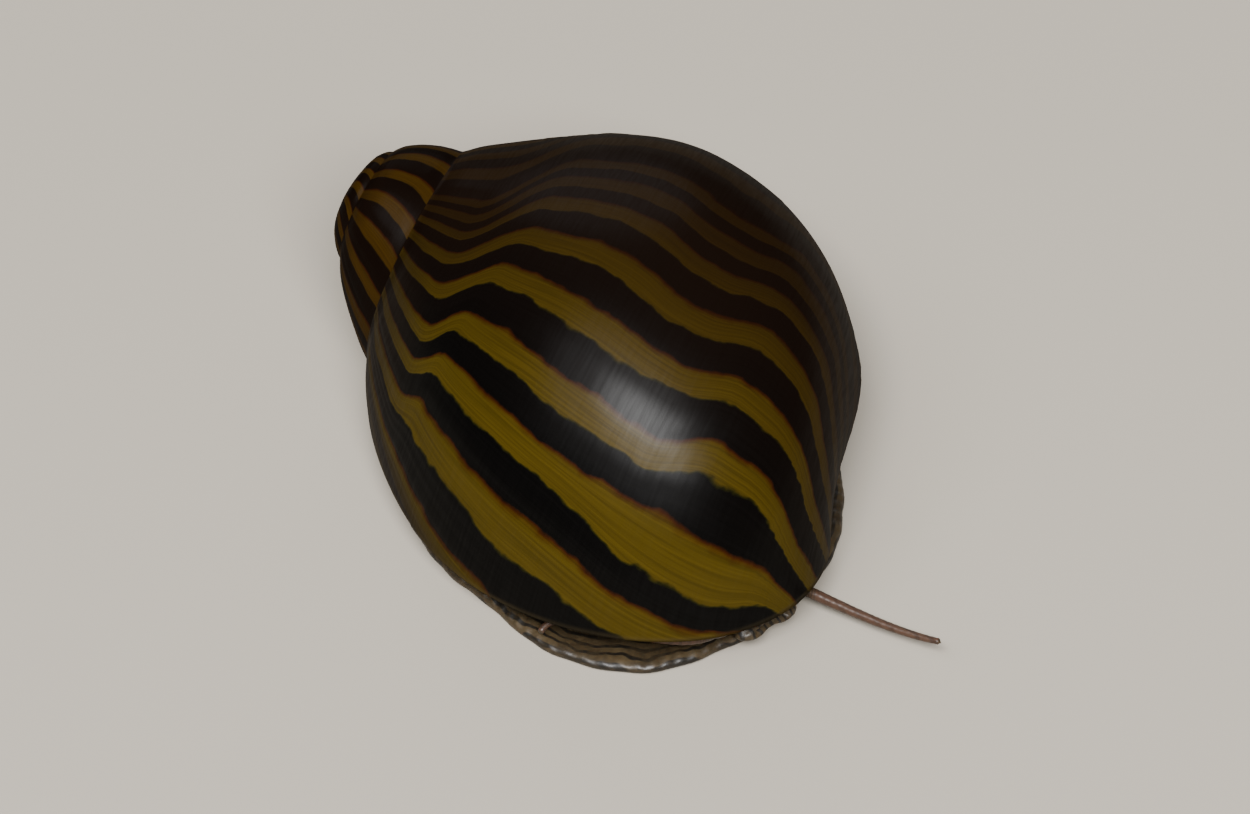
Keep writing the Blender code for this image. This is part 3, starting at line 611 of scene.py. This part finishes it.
def foot_reach(angle):
    """Distance of the sole's edge from its middle: four quarter ovals, each as square as its
    corner's power, with slight waves."""
    cosine, sine = np.cos(angle), np.sin(angle)
    across = np.where(cosine > 0, FOOT_LEFT, FOOT_RIGHT)
    along = np.where(sine > 0, FOOT_REAR, FOOT_FRONT)
    left = np.where(sine > 0, FOOT_CORNERS["rear_left"], FOOT_CORNERS["front_left"])
    right = np.where(sine > 0, FOOT_CORNERS["rear_right"], FOOT_CORNERS["front_right"])
    power = np.where(cosine > 0, left, right)
    reach = (np.abs(cosine / across) ** power + np.abs(sine / along) ** power) ** (-1 / power)
    return reach * (1 + sum(height * np.sin(n * angle + start) for n, start, height in FOOT_WAVES))


def foot_top(x, y):
    """Height of the foot's back: a thin margin, a thicker tail, and a bell for the neck."""
    out = np.hypot((x - NECK_CENTRE[0]) / NECK_HALF[0], (y - NECK_CENTRE[1]) / NECK_HALF[1])
    body = MARGIN_HEIGHT + (TAIL_HEIGHT - MARGIN_HEIGHT) * smooth(*TAIL_FROM, y)
    return body + (NECK_HEIGHT - body) * np.clip(1.15 - out**2, 0, 1) ** 1.5


def level_ring(flat, height):
    """Points of a flat outline, at this height or these heights."""
    return np.column_stack([flat, np.broadcast_to(height, len(flat))])


def foot_rings():
    """Rings from the sole's middle out round the margin's rolled edge and back on top."""
    angle = np.linspace(0, 2 * np.pi, 220, endpoint=False)
    edge = foot_reach(angle)[:, None] * np.stack([np.cos(angle), np.sin(angle)], axis=-1)
    under = [(share, 0.0) for share in (0.0, 0.3, 0.6, 0.8, 0.9, 0.95, 0.975)]
    rings = [level_ring(FOOT_CENTRE + share * edge, z) for share, z in under + MARGIN_EDGE]
    for share in np.append(np.linspace(0.95, 0.05, 30), 0.0):
        flat = FOOT_CENTRE + share * edge
        low = MARGIN_HEIGHT - MARGIN_GROOVE * np.exp(-(((share - GROOVE_AT) / GROOVE_WIDTH) ** 2))
        rise = (foot_top(*flat.T) - MARGIN_HEIGHT) * min(1.0, (1 - share) / 0.16)
        rings.append(level_ring(flat, low + rise))
    return np.array(rings)


def rounded(wave, power):
    """A sine or cosine to a power that keeps its sign, which squares a circle."""
    return np.sign(wave) * np.abs(wave) ** power


def head_rings():
    """Upright ovals along the head, squarer below than above. Their width, top and bottom
    are read between the shares of the length given above, from the neck to the snout."""
    share = np.linspace(0, 1, 60)
    width = np.interp(share, HEAD_SHARES, HEAD_WIDTHS)
    top = np.interp(share, HEAD_SHARES, HEAD_TOPS)
    bottom = np.interp(share, CHIN_SHARES, CHIN_HEIGHTS)
    angle = np.linspace(0, 2 * np.pi, 48, endpoint=False)
    x = HEAD_X + 0.5 * width[:, None] * rounded(np.cos(angle), 0.75)
    y = np.broadcast_to((HEAD_BACK + share * (SNOUT_TIP - HEAD_BACK))[:, None], x.shape)
    up = rounded(np.sin(angle), np.where(np.sin(angle) > 0, 0.9, 0.55))
    z = 0.5 * (bottom + top)[:, None] + 0.5 * (top - bottom)[:, None] * up
    rings = np.stack([x, y, z], axis=-1)
    ends = [np.broadcast_to(ring.mean(axis=0), ring.shape)[None] for ring in (rings[0], rings[-1])]
    return np.concatenate([ends[0], rings, ends[1]])


def oval_rings(centre, radii, count=24):
    """An ellipsoid as rings from its lowest point to its highest."""
    tilt = np.linspace(-np.pi / 2, np.pi / 2, count)[:, None]
    around = np.linspace(0, 2 * np.pi, 2 * count, endpoint=False)[None, :]
    height = np.broadcast_to(np.sin(tilt), (count, 2 * count))
    unit = np.stack([np.cos(tilt) * np.cos(around), np.cos(tilt) * np.sin(around), height], axis=-1)
    return np.array(centre) + unit * np.array(radii)


def column_rings(low, high, bottom, top):
    """A closed column between two outlines, at two heights."""
    middle = level_ring(0.5 * (low + high), 0.5 * (bottom + top))
    low, high = level_ring(low, bottom), level_ring(high, top)
    ends = [np.broadcast_to(ring.mean(axis=0), ring.shape) for ring in (low, high)]
    return np.array([ends[0], low, middle, high, ends[1]])


def mantle_rings(outline):
    """The body inside the opening: the base outline cut straight at the columella and the
    front, smaller towards its top."""
    middle = outline.mean(axis=0)
    levels = []
    for share in (RIM_SHARE, OPENING_TOP_SHARE):
        flat = middle + share * (outline - middle)
        flat[:, 0] = np.minimum(flat[:, 0], COLUMELLA_X - 0.5)
        flat[:, 1] = np.maximum(flat[:, 1], MANTLE_FRONT)
        levels.append(flat)
    return column_rings(*levels, MANTLE_BOTTOM, MANTLE_TOP)


def curve_point(controls, t):
    """Cubic Bezier: the four points weighted by the binomial shares of t."""
    p = np.array(controls)[:, None, :]
    t = t[:, None]
    return (1 - t) ** 3 * p[0] + 3 * t * (1 - t) ** 2 * p[1] + 3 * t**2 * (1 - t) * p[2] + t**3 * p[3]


def feeler_radius(t):
    """Even taper, with a flare at the root and faint rings, and a round end."""
    even = FEELER_ROOT + (FEELER_TIP - FEELER_ROOT) * t + FEELER_FLARE * np.exp(-((t / FLARE_REACH) ** 2))
    beyond = np.maximum(t - ROUND_FROM, 0) / ROUND_LENGTH
    return even * (1 + RING_HEIGHT * np.sin(FEELER_RINGS * t)) * np.sqrt(np.clip(1 - beyond**2, 0, 1))


def tube_rings(path, radius, count=16):
    """Circles square to the path, whose sideways direction stays level."""
    along = np.gradient(path, axis=0)
    along /= np.linalg.norm(along, axis=1)[:, None]
    side = np.cross(along, (0, 0, 1))
    side /= np.linalg.norm(side, axis=1)[:, None]
    up = np.cross(side, along)
    around = np.linspace(0, 2 * np.pi, count, endpoint=False)[None, :, None]
    ring = np.cos(around) * side[:, None] + np.sin(around) * up[:, None]
    rings = path[:, None] + radius[:, None, None] * ring
    rings[0], rings[-1] = path[0], path[-1]
    return rings


def brow_place(sign):
    """The middle of the brow on that side."""
    return np.array([HEAD_X + sign * BROW_OUT, BROW_Y, BROW_HEIGHT])


def stalk_direction(sign):
    """The stalk's direction out of the brow on that side."""
    outward = np.array([sign * STALK_DIRECTION[0], *STALK_DIRECTION[1:]])
    return outward / np.linalg.norm(outward)


def stalk_rings(sign):
    """A short blunt cone out of the brow, hollowed a little at its end for the eye. Its
    rings are drawn on an even path first, and then moved to their places along it."""
    outward = stalk_direction(sign)
    even = brow_place(sign) + outward * np.linspace(0, 1, len(STALK_SHARES))[:, None]
    path = brow_place(sign) + outward * (STALK_SHARES * (BROW_RADIUS + STALK_LENGTH))[:, None]
    return tube_rings(even, STALK_WIDTHS * STALK_RADIUS) - even[:, None] + path[:, None]


def body_forms(outline):
    """All the closed forms that the skin is fused from."""
    around = np.linspace(0, 2 * np.pi, 48, endpoint=False)
    neck = NECK_CENTRE + NECK_COLUMN * np.stack([np.cos(around), np.sin(around)], axis=-1)
    forms = [foot_rings(), head_rings(), mantle_rings(outline)]
    forms.append(column_rings(neck, neck, NECK_LOW, NECK_HIGH))
    t = np.linspace(0, 1, 160)
    for sign, controls in zip((1, -1), FEELERS.values()):
        forms.append(tube_rings(curve_point(controls, t), feeler_radius(t)))
        forms.append(stalk_rings(sign))
        forms.append(oval_rings(brow_place(sign), (BROW_RADIUS, BROW_RADIUS, BROW_THICK)))
        forms.append(oval_rings((HEAD_X + sign * LIP_OUT, SNOUT_TIP + LIP_BACK, 1.0), LIP_RADII))
    return forms


def ring_faces(rings, start=0):
    """Faces between closed rings whose points are numbered from start. The first ring and
    the last are one point each."""
    number = start + np.arange(rings[..., 0].size).reshape(rings.shape[:2])
    number[0], number[-1] = number[0, 0], number[-1, 0]
    return strip_faces(np.hstack([number, number[:, :1]]))


def fused_skin(forms):
    """Joins the closed forms by voxels as wide as the skin's grain, and evens the result.
    Until it is joined, the mesh's unit is the millimetre, so that the voxels suit it."""
    points, faces, start = [], [], 0
    for rings in forms:
        faces.append(ring_faces(rings, start))
        points.append(rings.reshape(-1, 3))
        start += rings[..., 0].size
    made = mesh_object("snail_body", np.concatenate(points) / MM, np.concatenate(faces))
    fuse = made.modifiers.new("fuse", "REMESH")
    fuse.mode = "VOXEL"
    fuse.voxel_size = SKIN_GRAIN
    even = made.modifiers.new("even", "SMOOTH")
    even.factor, even.iterations = EVENED_BY, EVENED_ROUNDS
    graph = bpy.context.evaluated_depsgraph_get()
    mesh = bpy.data.meshes.new_from_object(made.evaluated_get(graph))
    made.modifiers.clear()
    made.data = mesh
    return made


def mesh_points(mesh):
    """The mesh's points as rows of three numbers."""
    flat = np.empty(len(mesh.vertices) * 3, np.float32)
    mesh.vertices.foreach_get("co", flat)
    return flat.reshape(-1, 3).astype(float)


def nearest_on(path, points):
    """Index of the nearest point of the path, and the distance, for each point."""
    gap = np.linalg.norm(points[:, None, :] - path[None, :, :], axis=2)
    nearest = gap.argmin(axis=1)
    return nearest, gap[np.arange(len(points)), nearest]


def round_feelers(points):
    """Moves the points near each feeler's curve to its radius from the curve, and returns
    how far along a feeler each point is: 0 on the body, rising to 1 past the root."""
    feeler = np.zeros(len(points))
    t = np.linspace(0, 1, FEELER_STEPS)
    radius = feeler_radius(t)
    for controls in FEELERS.values():
        path = curve_point(controls, t)
        low, high = path.min(axis=0) - 0.6, path.max(axis=0) + 0.6
        near = np.flatnonzero(((points > low) & (points < high)).all(axis=1))
        nearest, gap = nearest_on(path, points[near])
        mine = (gap < 1.7 * radius[nearest] + 0.05) & (nearest > MADE_ROUND[0]) & (nearest < MADE_ROUND[1])
        near, nearest, gap = near[mine], nearest[mine], gap[mine]
        out = (points[near] - path[nearest]) / np.maximum(gap, 1e-6)[:, None]
        moved = path[nearest] + out * radius[nearest][:, None]
        points[near] += smooth(*ROUND_EASE, nearest)[:, None] * (moved - points[near])
        feeler[near] = np.maximum(feeler[near], smooth(*COLOUR_EASE, nearest))
    return feeler


def make_body(outline):
    """The fused skin with its feelers made round again, the mouth's slit pressed in between
    the lips, wrinkles pressed in across the snout and the foot's margin, and a flat sole."""
    made = fused_skin(body_forms(outline))
    points = mesh_points(made.data)
    feeler = round_feelers(points)
    x, y, z = points.T
    aside = np.abs(x - HEAD_X)
    level = MOUTH_HEIGHT + MOUTH_WAVE * np.cos(3 * (x - HEAD_X))
    slit = np.exp(-(((z - level) / MOUTH_THICK) ** 2)) * smooth(*MOUTH_ENDS, aside / MOUTH_HALF)
    slit = slit * smooth(*MOUTH_FROM, y) * (feeler == 0)
    wrinkle = WRINKLE * np.sin(WRINKLE_RATE * y + 1.2 * np.sin(2.1 * x) + 0.8 * np.sin(5 * x))
    wrinkle = wrinkle * smooth(*WRINKLE_FROM, y) * smooth(*WRINKLE_ABOVE, z)
    wrinkle = wrinkle * smooth(*WRINKLE_ASIDE, aside) * (feeler == 0)
    around = np.arctan2(y - FOOT_CENTRE[1], x - FOOT_CENTRE[0])
    share = np.hypot(y - FOOT_CENTRE[1], x - FOOT_CENTRE[0]) / foot_reach(around)
    on_foot = (z < FOOT_BELOW) & (share < FOOT_WITHIN) & (feeler == 0)
    pucker = PUCKER * np.sin(PUCKER_RATE * around + 2 * np.sin(9 * around))
    pucker = pucker * smooth(*PUCKER_OUT, share) * smooth(*PUCKER_ABOVE, z) * on_foot
    points[:, 1] += MOUTH_DEPTH * slit
    points[:, 2] += wrinkle + pucker
    points[:, 2] = np.where(z < SOLE_BELOW, 0.0, np.maximum(points[:, 2], 0.0))
    made.data.vertices.foreach_set("co", (points * MM).astype(np.float32).ravel())
    made.data.update()
    made.data.shade_smooth()
    contour = np.where(on_foot, FOOT_LINES * (1 - share), HEAD_LINES * aside + FEELER_LINE * feeler)
    for name, value in (("contour", contour), ("feeler", feeler)):
        layer = made.data.attributes.new(name, "FLOAT", "POINT")
        layer.data.foreach_set("value", value.astype(np.float32))
    return made


MOTTLE_DETAIL, MOTTLE_FINER, MOTTLE_FINE_SHARE, MOTTLE_MIDDLE = 3.0, 5.3, 0.45, 0.725


def mottle_group():
    """Two noises of different size, spread apart by the contrast into one mask."""
    inputs = [("Vector", None), ("Scale", 500.0), ("Contrast", 2.0)]
    group, given, result = new_group("mottle", inputs, ["Mask"])
    place, scale = given.outputs["Vector"], given.outputs["Scale"]
    broad = noise(group, place, scale, MOTTLE_DETAIL)
    fine = noise(group, place, calculate(group, "MULTIPLY", scale, MOTTLE_FINER))
    both = calculate(group, "MULTIPLY_ADD", fine, MOTTLE_FINE_SHARE, broad)
    centred = calculate(group, "SUBTRACT", both, MOTTLE_MIDDLE)
    spread = calculate(group, "MULTIPLY_ADD", centred, given.outputs["Contrast"], 0.5, clamp=True)
    group.links.new(spread, result.inputs["Mask"])
    return group


MOTTLE = mottle_group()


def mottle(tree, where, scale, contrast):
    """The mottle group's mask at this scale and contrast."""
    settings = {"node_tree": MOTTLE}
    made = add_node(tree, "ShaderNodeGroup", settings, Vector=where, Scale=scale, Contrast=contrast)
    return made.outputs["Mask"]


SKIN_PALE, SKIN_BROWN = (0.056, 0.038, 0.017), (0.022, 0.015, 0.008)
SKIN_LINE, FEELER_COLOUR = (0.003, 0.0026, 0.0022), (0.06, 0.028, 0.017)
LINE_SPACING, LINE_WAVER, LINE_WAVER_SCALE = 0.42, 0.9, 520.0
LINE_EDGE, LINE_BREAKS = (0.12, 0.24, 1.0, 0.0), (0.15, 0.6, 0.35, 1.0)
FEELER_REDDER, FEELER_LINES, BODY_LINES = 0.8, -0.5, 0.9
SKIN_WETNESS, SKIN_MOTTLE = (0.0, 1.0, 0.4, 0.55), (700.0, 2.6)
PORE_SCALE, PORE_BUMP = 4200.0, (0.5, 0.04 * MM)


def skin_material():
    """Grey-brown mottled skin with thin dark lines that follow the foot's margin and run
    back over the head, and redder feelers with a dark line. Moist, with a fine bump."""
    made, tree, shader = new_material("skin_moist")
    where = add_node(tree, "ShaderNodeTexCoord").outputs["Object"]
    contour = add_node(tree, "ShaderNodeAttribute", {"attribute_name": "contour"}).outputs["Fac"]
    feeler = add_node(tree, "ShaderNodeAttribute", {"attribute_name": "feeler"}).outputs["Fac"]
    patches = mottle(tree, where, *SKIN_MOTTLE)
    wavy = calculate(tree, "MULTIPLY_ADD", noise(tree, where, LINE_WAVER_SCALE), LINE_WAVER, contour)
    part = calculate(tree, "PINGPONG", calculate(tree, "DIVIDE", wavy, LINE_SPACING), 0.5)
    drawn = calculate(tree, "MULTIPLY", ease(tree, part, *LINE_EDGE), rescale(tree, patches, *LINE_BREAKS))
    colour = mix(tree, patches, SKIN_BROWN, SKIN_PALE)
    colour = mix(tree, calculate(tree, "MULTIPLY", feeler, FEELER_REDDER), colour, FEELER_COLOUR)
    fainter = calculate(tree, "MULTIPLY_ADD", feeler, FEELER_LINES, BODY_LINES)
    colour = mix(tree, calculate(tree, "MULTIPLY", drawn, fainter), colour, SKIN_LINE)
    pores = bumped(tree, noise(tree, where, PORE_SCALE), *PORE_BUMP)
    sockets = {"Base Color": colour, "Roughness": rescale(tree, patches, *SKIN_WETNESS), "Normal": pores}
    sockets |= {"Subsurface Weight": 0.12, "Subsurface Radius": (1.0, 0.5, 0.3), "Subsurface Scale": 0.4 * MM}
    sockets |= {"Specular IOR Level": 0.3, "Coat Weight": 0.12, "Coat Roughness": 0.25}
    set_sockets(tree, shader, sockets)
    return made


lip_turns = row_angles()[1:-1]
body = make_body(shell_surface(lip_turns, base_crossing(lip_turns))[:, :2])
body.data.materials.clear()
body.data.materials.append(skin_material())
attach(body, "root")
feeler_nodes = [f"tentacle_{side}_{part}" for side in ("left", "right") for part in ("base", "tip")]
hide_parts("foot", "mantle", "head", "eye_stalk_left", "eye_stalk_right", *feeler_nodes)


# The eyes. Each is a small black bead, a lens and its dark lining under clear moist skin,
# and is set in the end of its stalk.
EYE_RADIUS, EYE_FROM_BROW, EYE_RINGS, EYE_MOTTLE = 0.255, 1.265, 26, (3000.0, 2.0)
EYE_BLACK, EYE_RING, EYE_RING_SHARE = (0.003, 0.003, 0.004), (0.03, 0.016, 0.008), 0.3


def make_eye(side, sign):
    """A sphere where the stalk ends, as rings from the lowest point to the highest."""
    centre = brow_place(sign) + stalk_direction(sign) * (BROW_RADIUS + EYE_FROM_BROW)
    rings = oval_rings(centre, (EYE_RADIUS,) * 3, EYE_RINGS)
    return mesh_object(f"snail_eye_{side}", rings.reshape(-1, 3), ring_faces(rings))


def eye_material():
    """Wet black, with a faint brown mottle as in the real eye's rim."""
    made, tree, shader = new_material("eye_wet_black")
    where = add_node(tree, "ShaderNodeTexCoord").outputs["Object"]
    brown = calculate(tree, "MULTIPLY", mottle(tree, where, *EYE_MOTTLE), EYE_RING_SHARE)
    sockets = {"Base Color": mix(tree, brown, EYE_BLACK, EYE_RING), "Roughness": 0.2}
    sockets |= {"Coat Weight": 0.5, "Coat Roughness": 0.08}
    set_sockets(tree, shader, sockets)
    return made


eye_finish = eye_material()
for side, sign in (("left", 1), ("right", -1)):
    eye = make_eye(side, sign)
    eye.data.materials.append(eye_finish)
    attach(eye, "root")
    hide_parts(f"eye_{side}")


# The operculum, the half-moon lid of horn and lime that shuts the shell. The snail carries
# it flat on its tail. It grows round one corner, which leaves curved growth lines.
LID_CENTRE, LID_HALF, LID_BOW = np.array([-0.4, 5.4]), np.array([4.18, 2.58]), 0.55
LID_BOTTOM, LID_THICKNESS, LID_CORNER = 1.3, 0.6, np.array([2.6, 5.1])
LID_PROFILE = [(0.0, 0.0), (0.5, 0.0), (0.88, 0.02), (0.95, 0.1), (0.99, 0.24), (1.0, 0.36)]
LID_PROFILE += [(0.995, 0.5), (0.97, 0.68)]
LID_PROFILE += [(share, 0.97 - 0.25 * share**3) for share in np.linspace(0.93, 0.0, 34)]
LID_RIDGE, LID_RIDGE_RATE, LID_TOP_FROM = 0.018, 11, 0.66
LID_BROWN, LID_PALE, LID_EDGE = (0.12, 0.065, 0.03), (0.30, 0.20, 0.12), (0.03, 0.014, 0.008)
LID_DARKER, LID_LINES = (0.0, 0.5, 0.6, 0.0), (7.0, 9.0)
LID_MOTTLE, LID_BUMP = (420.0, 1.8), (0.5, 0.04 * MM)


def make_operculum():
    """Rings out from the middle below, round the edge and back above. Each is a share of a
    half oval with its front side drawn in. The top has low ridges round its left end."""
    angle = np.linspace(0, 2 * np.pi, 180, endpoint=False)
    bow = np.where(np.sin(angle) > 0, 1.0, LID_BOW)
    edge = np.stack([LID_HALF[0] * np.cos(angle), LID_HALF[1] * bow * np.sin(angle)], axis=-1)
    share, lift = np.array(LID_PROFILE).T[..., None]
    flat = LID_CENTRE + share[..., None] * edge
    from_corner = np.linalg.norm(flat - LID_CORNER, axis=-1)
    wave = np.sin(LID_RIDGE_RATE * from_corner + 0.8 * np.sin(3 * from_corner))
    ridges = LID_RIDGE * wave * (lift > LID_TOP_FROM) * smooth(0.99, 0.9, share)
    rings = np.concatenate([flat, (LID_BOTTOM + LID_THICKNESS * lift + ridges)[..., None]], axis=-1)
    corner_uv = np.stack([from_corner, np.broadcast_to(angle, from_corner.shape)], axis=-1)
    wrapped = np.concatenate([corner_uv, corner_uv[:, :1]], axis=1).reshape(-1, 2)
    place = strip_faces(np.arange(len(wrapped)).reshape(len(rings), -1))
    return mesh_object("snail_operculum", rings.reshape(-1, 3), ring_faces(rings), wrapped[place])


def operculum_material():
    """Brown horn with paler and darker growth lines round the corner that it grew from, and
    darker patches."""
    made, tree, shader = new_material("operculum_horn")
    place = add_node(tree, "ShaderNodeUVMap", {"uv_map": "growth"}).outputs["UV"]
    where = add_node(tree, "ShaderNodeTexCoord").outputs["Object"]
    growth = growth_lines(tree, place, *LID_LINES)[0]
    colour = mix(tree, rescale(tree, growth, LINES_FAINT, LINES_STRONG), LID_BROWN, LID_PALE)
    colour = mix(tree, rescale(tree, mottle(tree, where, *LID_MOTTLE), *LID_DARKER), colour, LID_EDGE)
    sockets = {"Base Color": colour, "Normal": bumped(tree, growth, *LID_BUMP), "Roughness": 0.38}
    set_sockets(tree, shader, sockets)
    return made


operculum = make_operculum()
operculum.data.materials.append(operculum_material())
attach(operculum, "root")
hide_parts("operculum")


# The floor, lights and camera. The floor is plain and pale. A long soft light stands above
# and before the snail, where the photo's highlight puts it. A broad one stands higher, and a
# weak one behind and the sky fill in.
FLOOR_HALF, FLOOR_COLOUR = 600.0, (0.40, 0.36, 0.30)


def make_floor():
    """A flat square under the sole."""
    corners = np.array([[-1, -1, 0], [1, -1, 0], [1, 1, 0], [-1, 1, 0]]) * FLOOR_HALF
    made = mesh_object("floor", corners, np.array([[0, 1, 2, 3]]))
    finish, tree, shader = new_material("floor_pale")
    set_sockets(tree, shader, {"Base Color": (*FLOOR_COLOUR, 1), "Roughness": 0.9})
    made.data.materials.append(finish)
    return made


make_floor()

AIM = Vector((-1.66, -0.51, 6.0)) * MM


def soft_light(name, direction, along, distance, size, power):
    """An oval area light, its longer side along the second direction, facing the snail."""
    data = bpy.data.lights.new(name, "AREA")
    data.shape = "ELLIPSE"
    data.size, data.size_y = size
    data.energy = power
    made = bpy.data.objects.new(name, data)
    z = Vector(direction).normalized()
    y = z.cross(Vector(along)).normalized()
    made.location = AIM + z * distance
    made.rotation_euler = Matrix((y.cross(z), y, z)).transposed().to_euler()
    bpy.context.scene.collection.objects.link(made)
    return made


# Each light's direction from the snail, the direction of its longer side, its distance,
# its length and width in metres, and its power in watts.
LIGHTS = {
    "key_light": ((-0.42, -0.5, 0.76), (0.29, -0.65, -0.27), 0.55, (0.40, 0.15), 7.2),
    "top_light": ((-0.55, -0.02, 0.82), (1, 0, 0), 0.9, (0.6, 0.6), 3.4),
    "fill_light": ((0.5, 0.75, 0.55), (0, 0, 1), 0.9, (0.8, 0.8), 1.6),
}
for light, given in LIGHTS.items():
    soft_light(light, *given)

SKY_COLOUR, SKY_STRENGTH = (0.95, 0.97, 1.0), 0.1
world = bpy.data.worlds.new("studio")
world.use_nodes = True
sky = world.node_tree.nodes["Background"]
set_sockets(world.node_tree, sky, {"Color": (*SKY_COLOUR, 1), "Strength": SKY_STRENGTH})
bpy.context.scene.world = world

LOOK_AZIMUTH, LOOK_DOWN, CAMERA_DISTANCE = math.radians(-40), math.radians(43.5), 0.2778
camera_data = bpy.data.cameras.new("camera")
camera_data.lens = 200.0
camera_data.sensor_width = 36.0
camera_data.clip_start, camera_data.clip_end = 0.01, 10.0
camera = bpy.data.objects.new("camera", camera_data)
look = Vector(
    (
        -math.sin(LOOK_AZIMUTH) * math.cos(LOOK_DOWN),
        math.cos(LOOK_AZIMUTH) * math.cos(LOOK_DOWN),
        -math.sin(LOOK_DOWN),
    )
)
camera.location = AIM - look * CAMERA_DISTANCE
camera.rotation_euler = look.to_track_quat("-Z", "Y").to_euler()
bpy.context.scene.collection.objects.link(camera)
bpy.context.scene.camera = camera
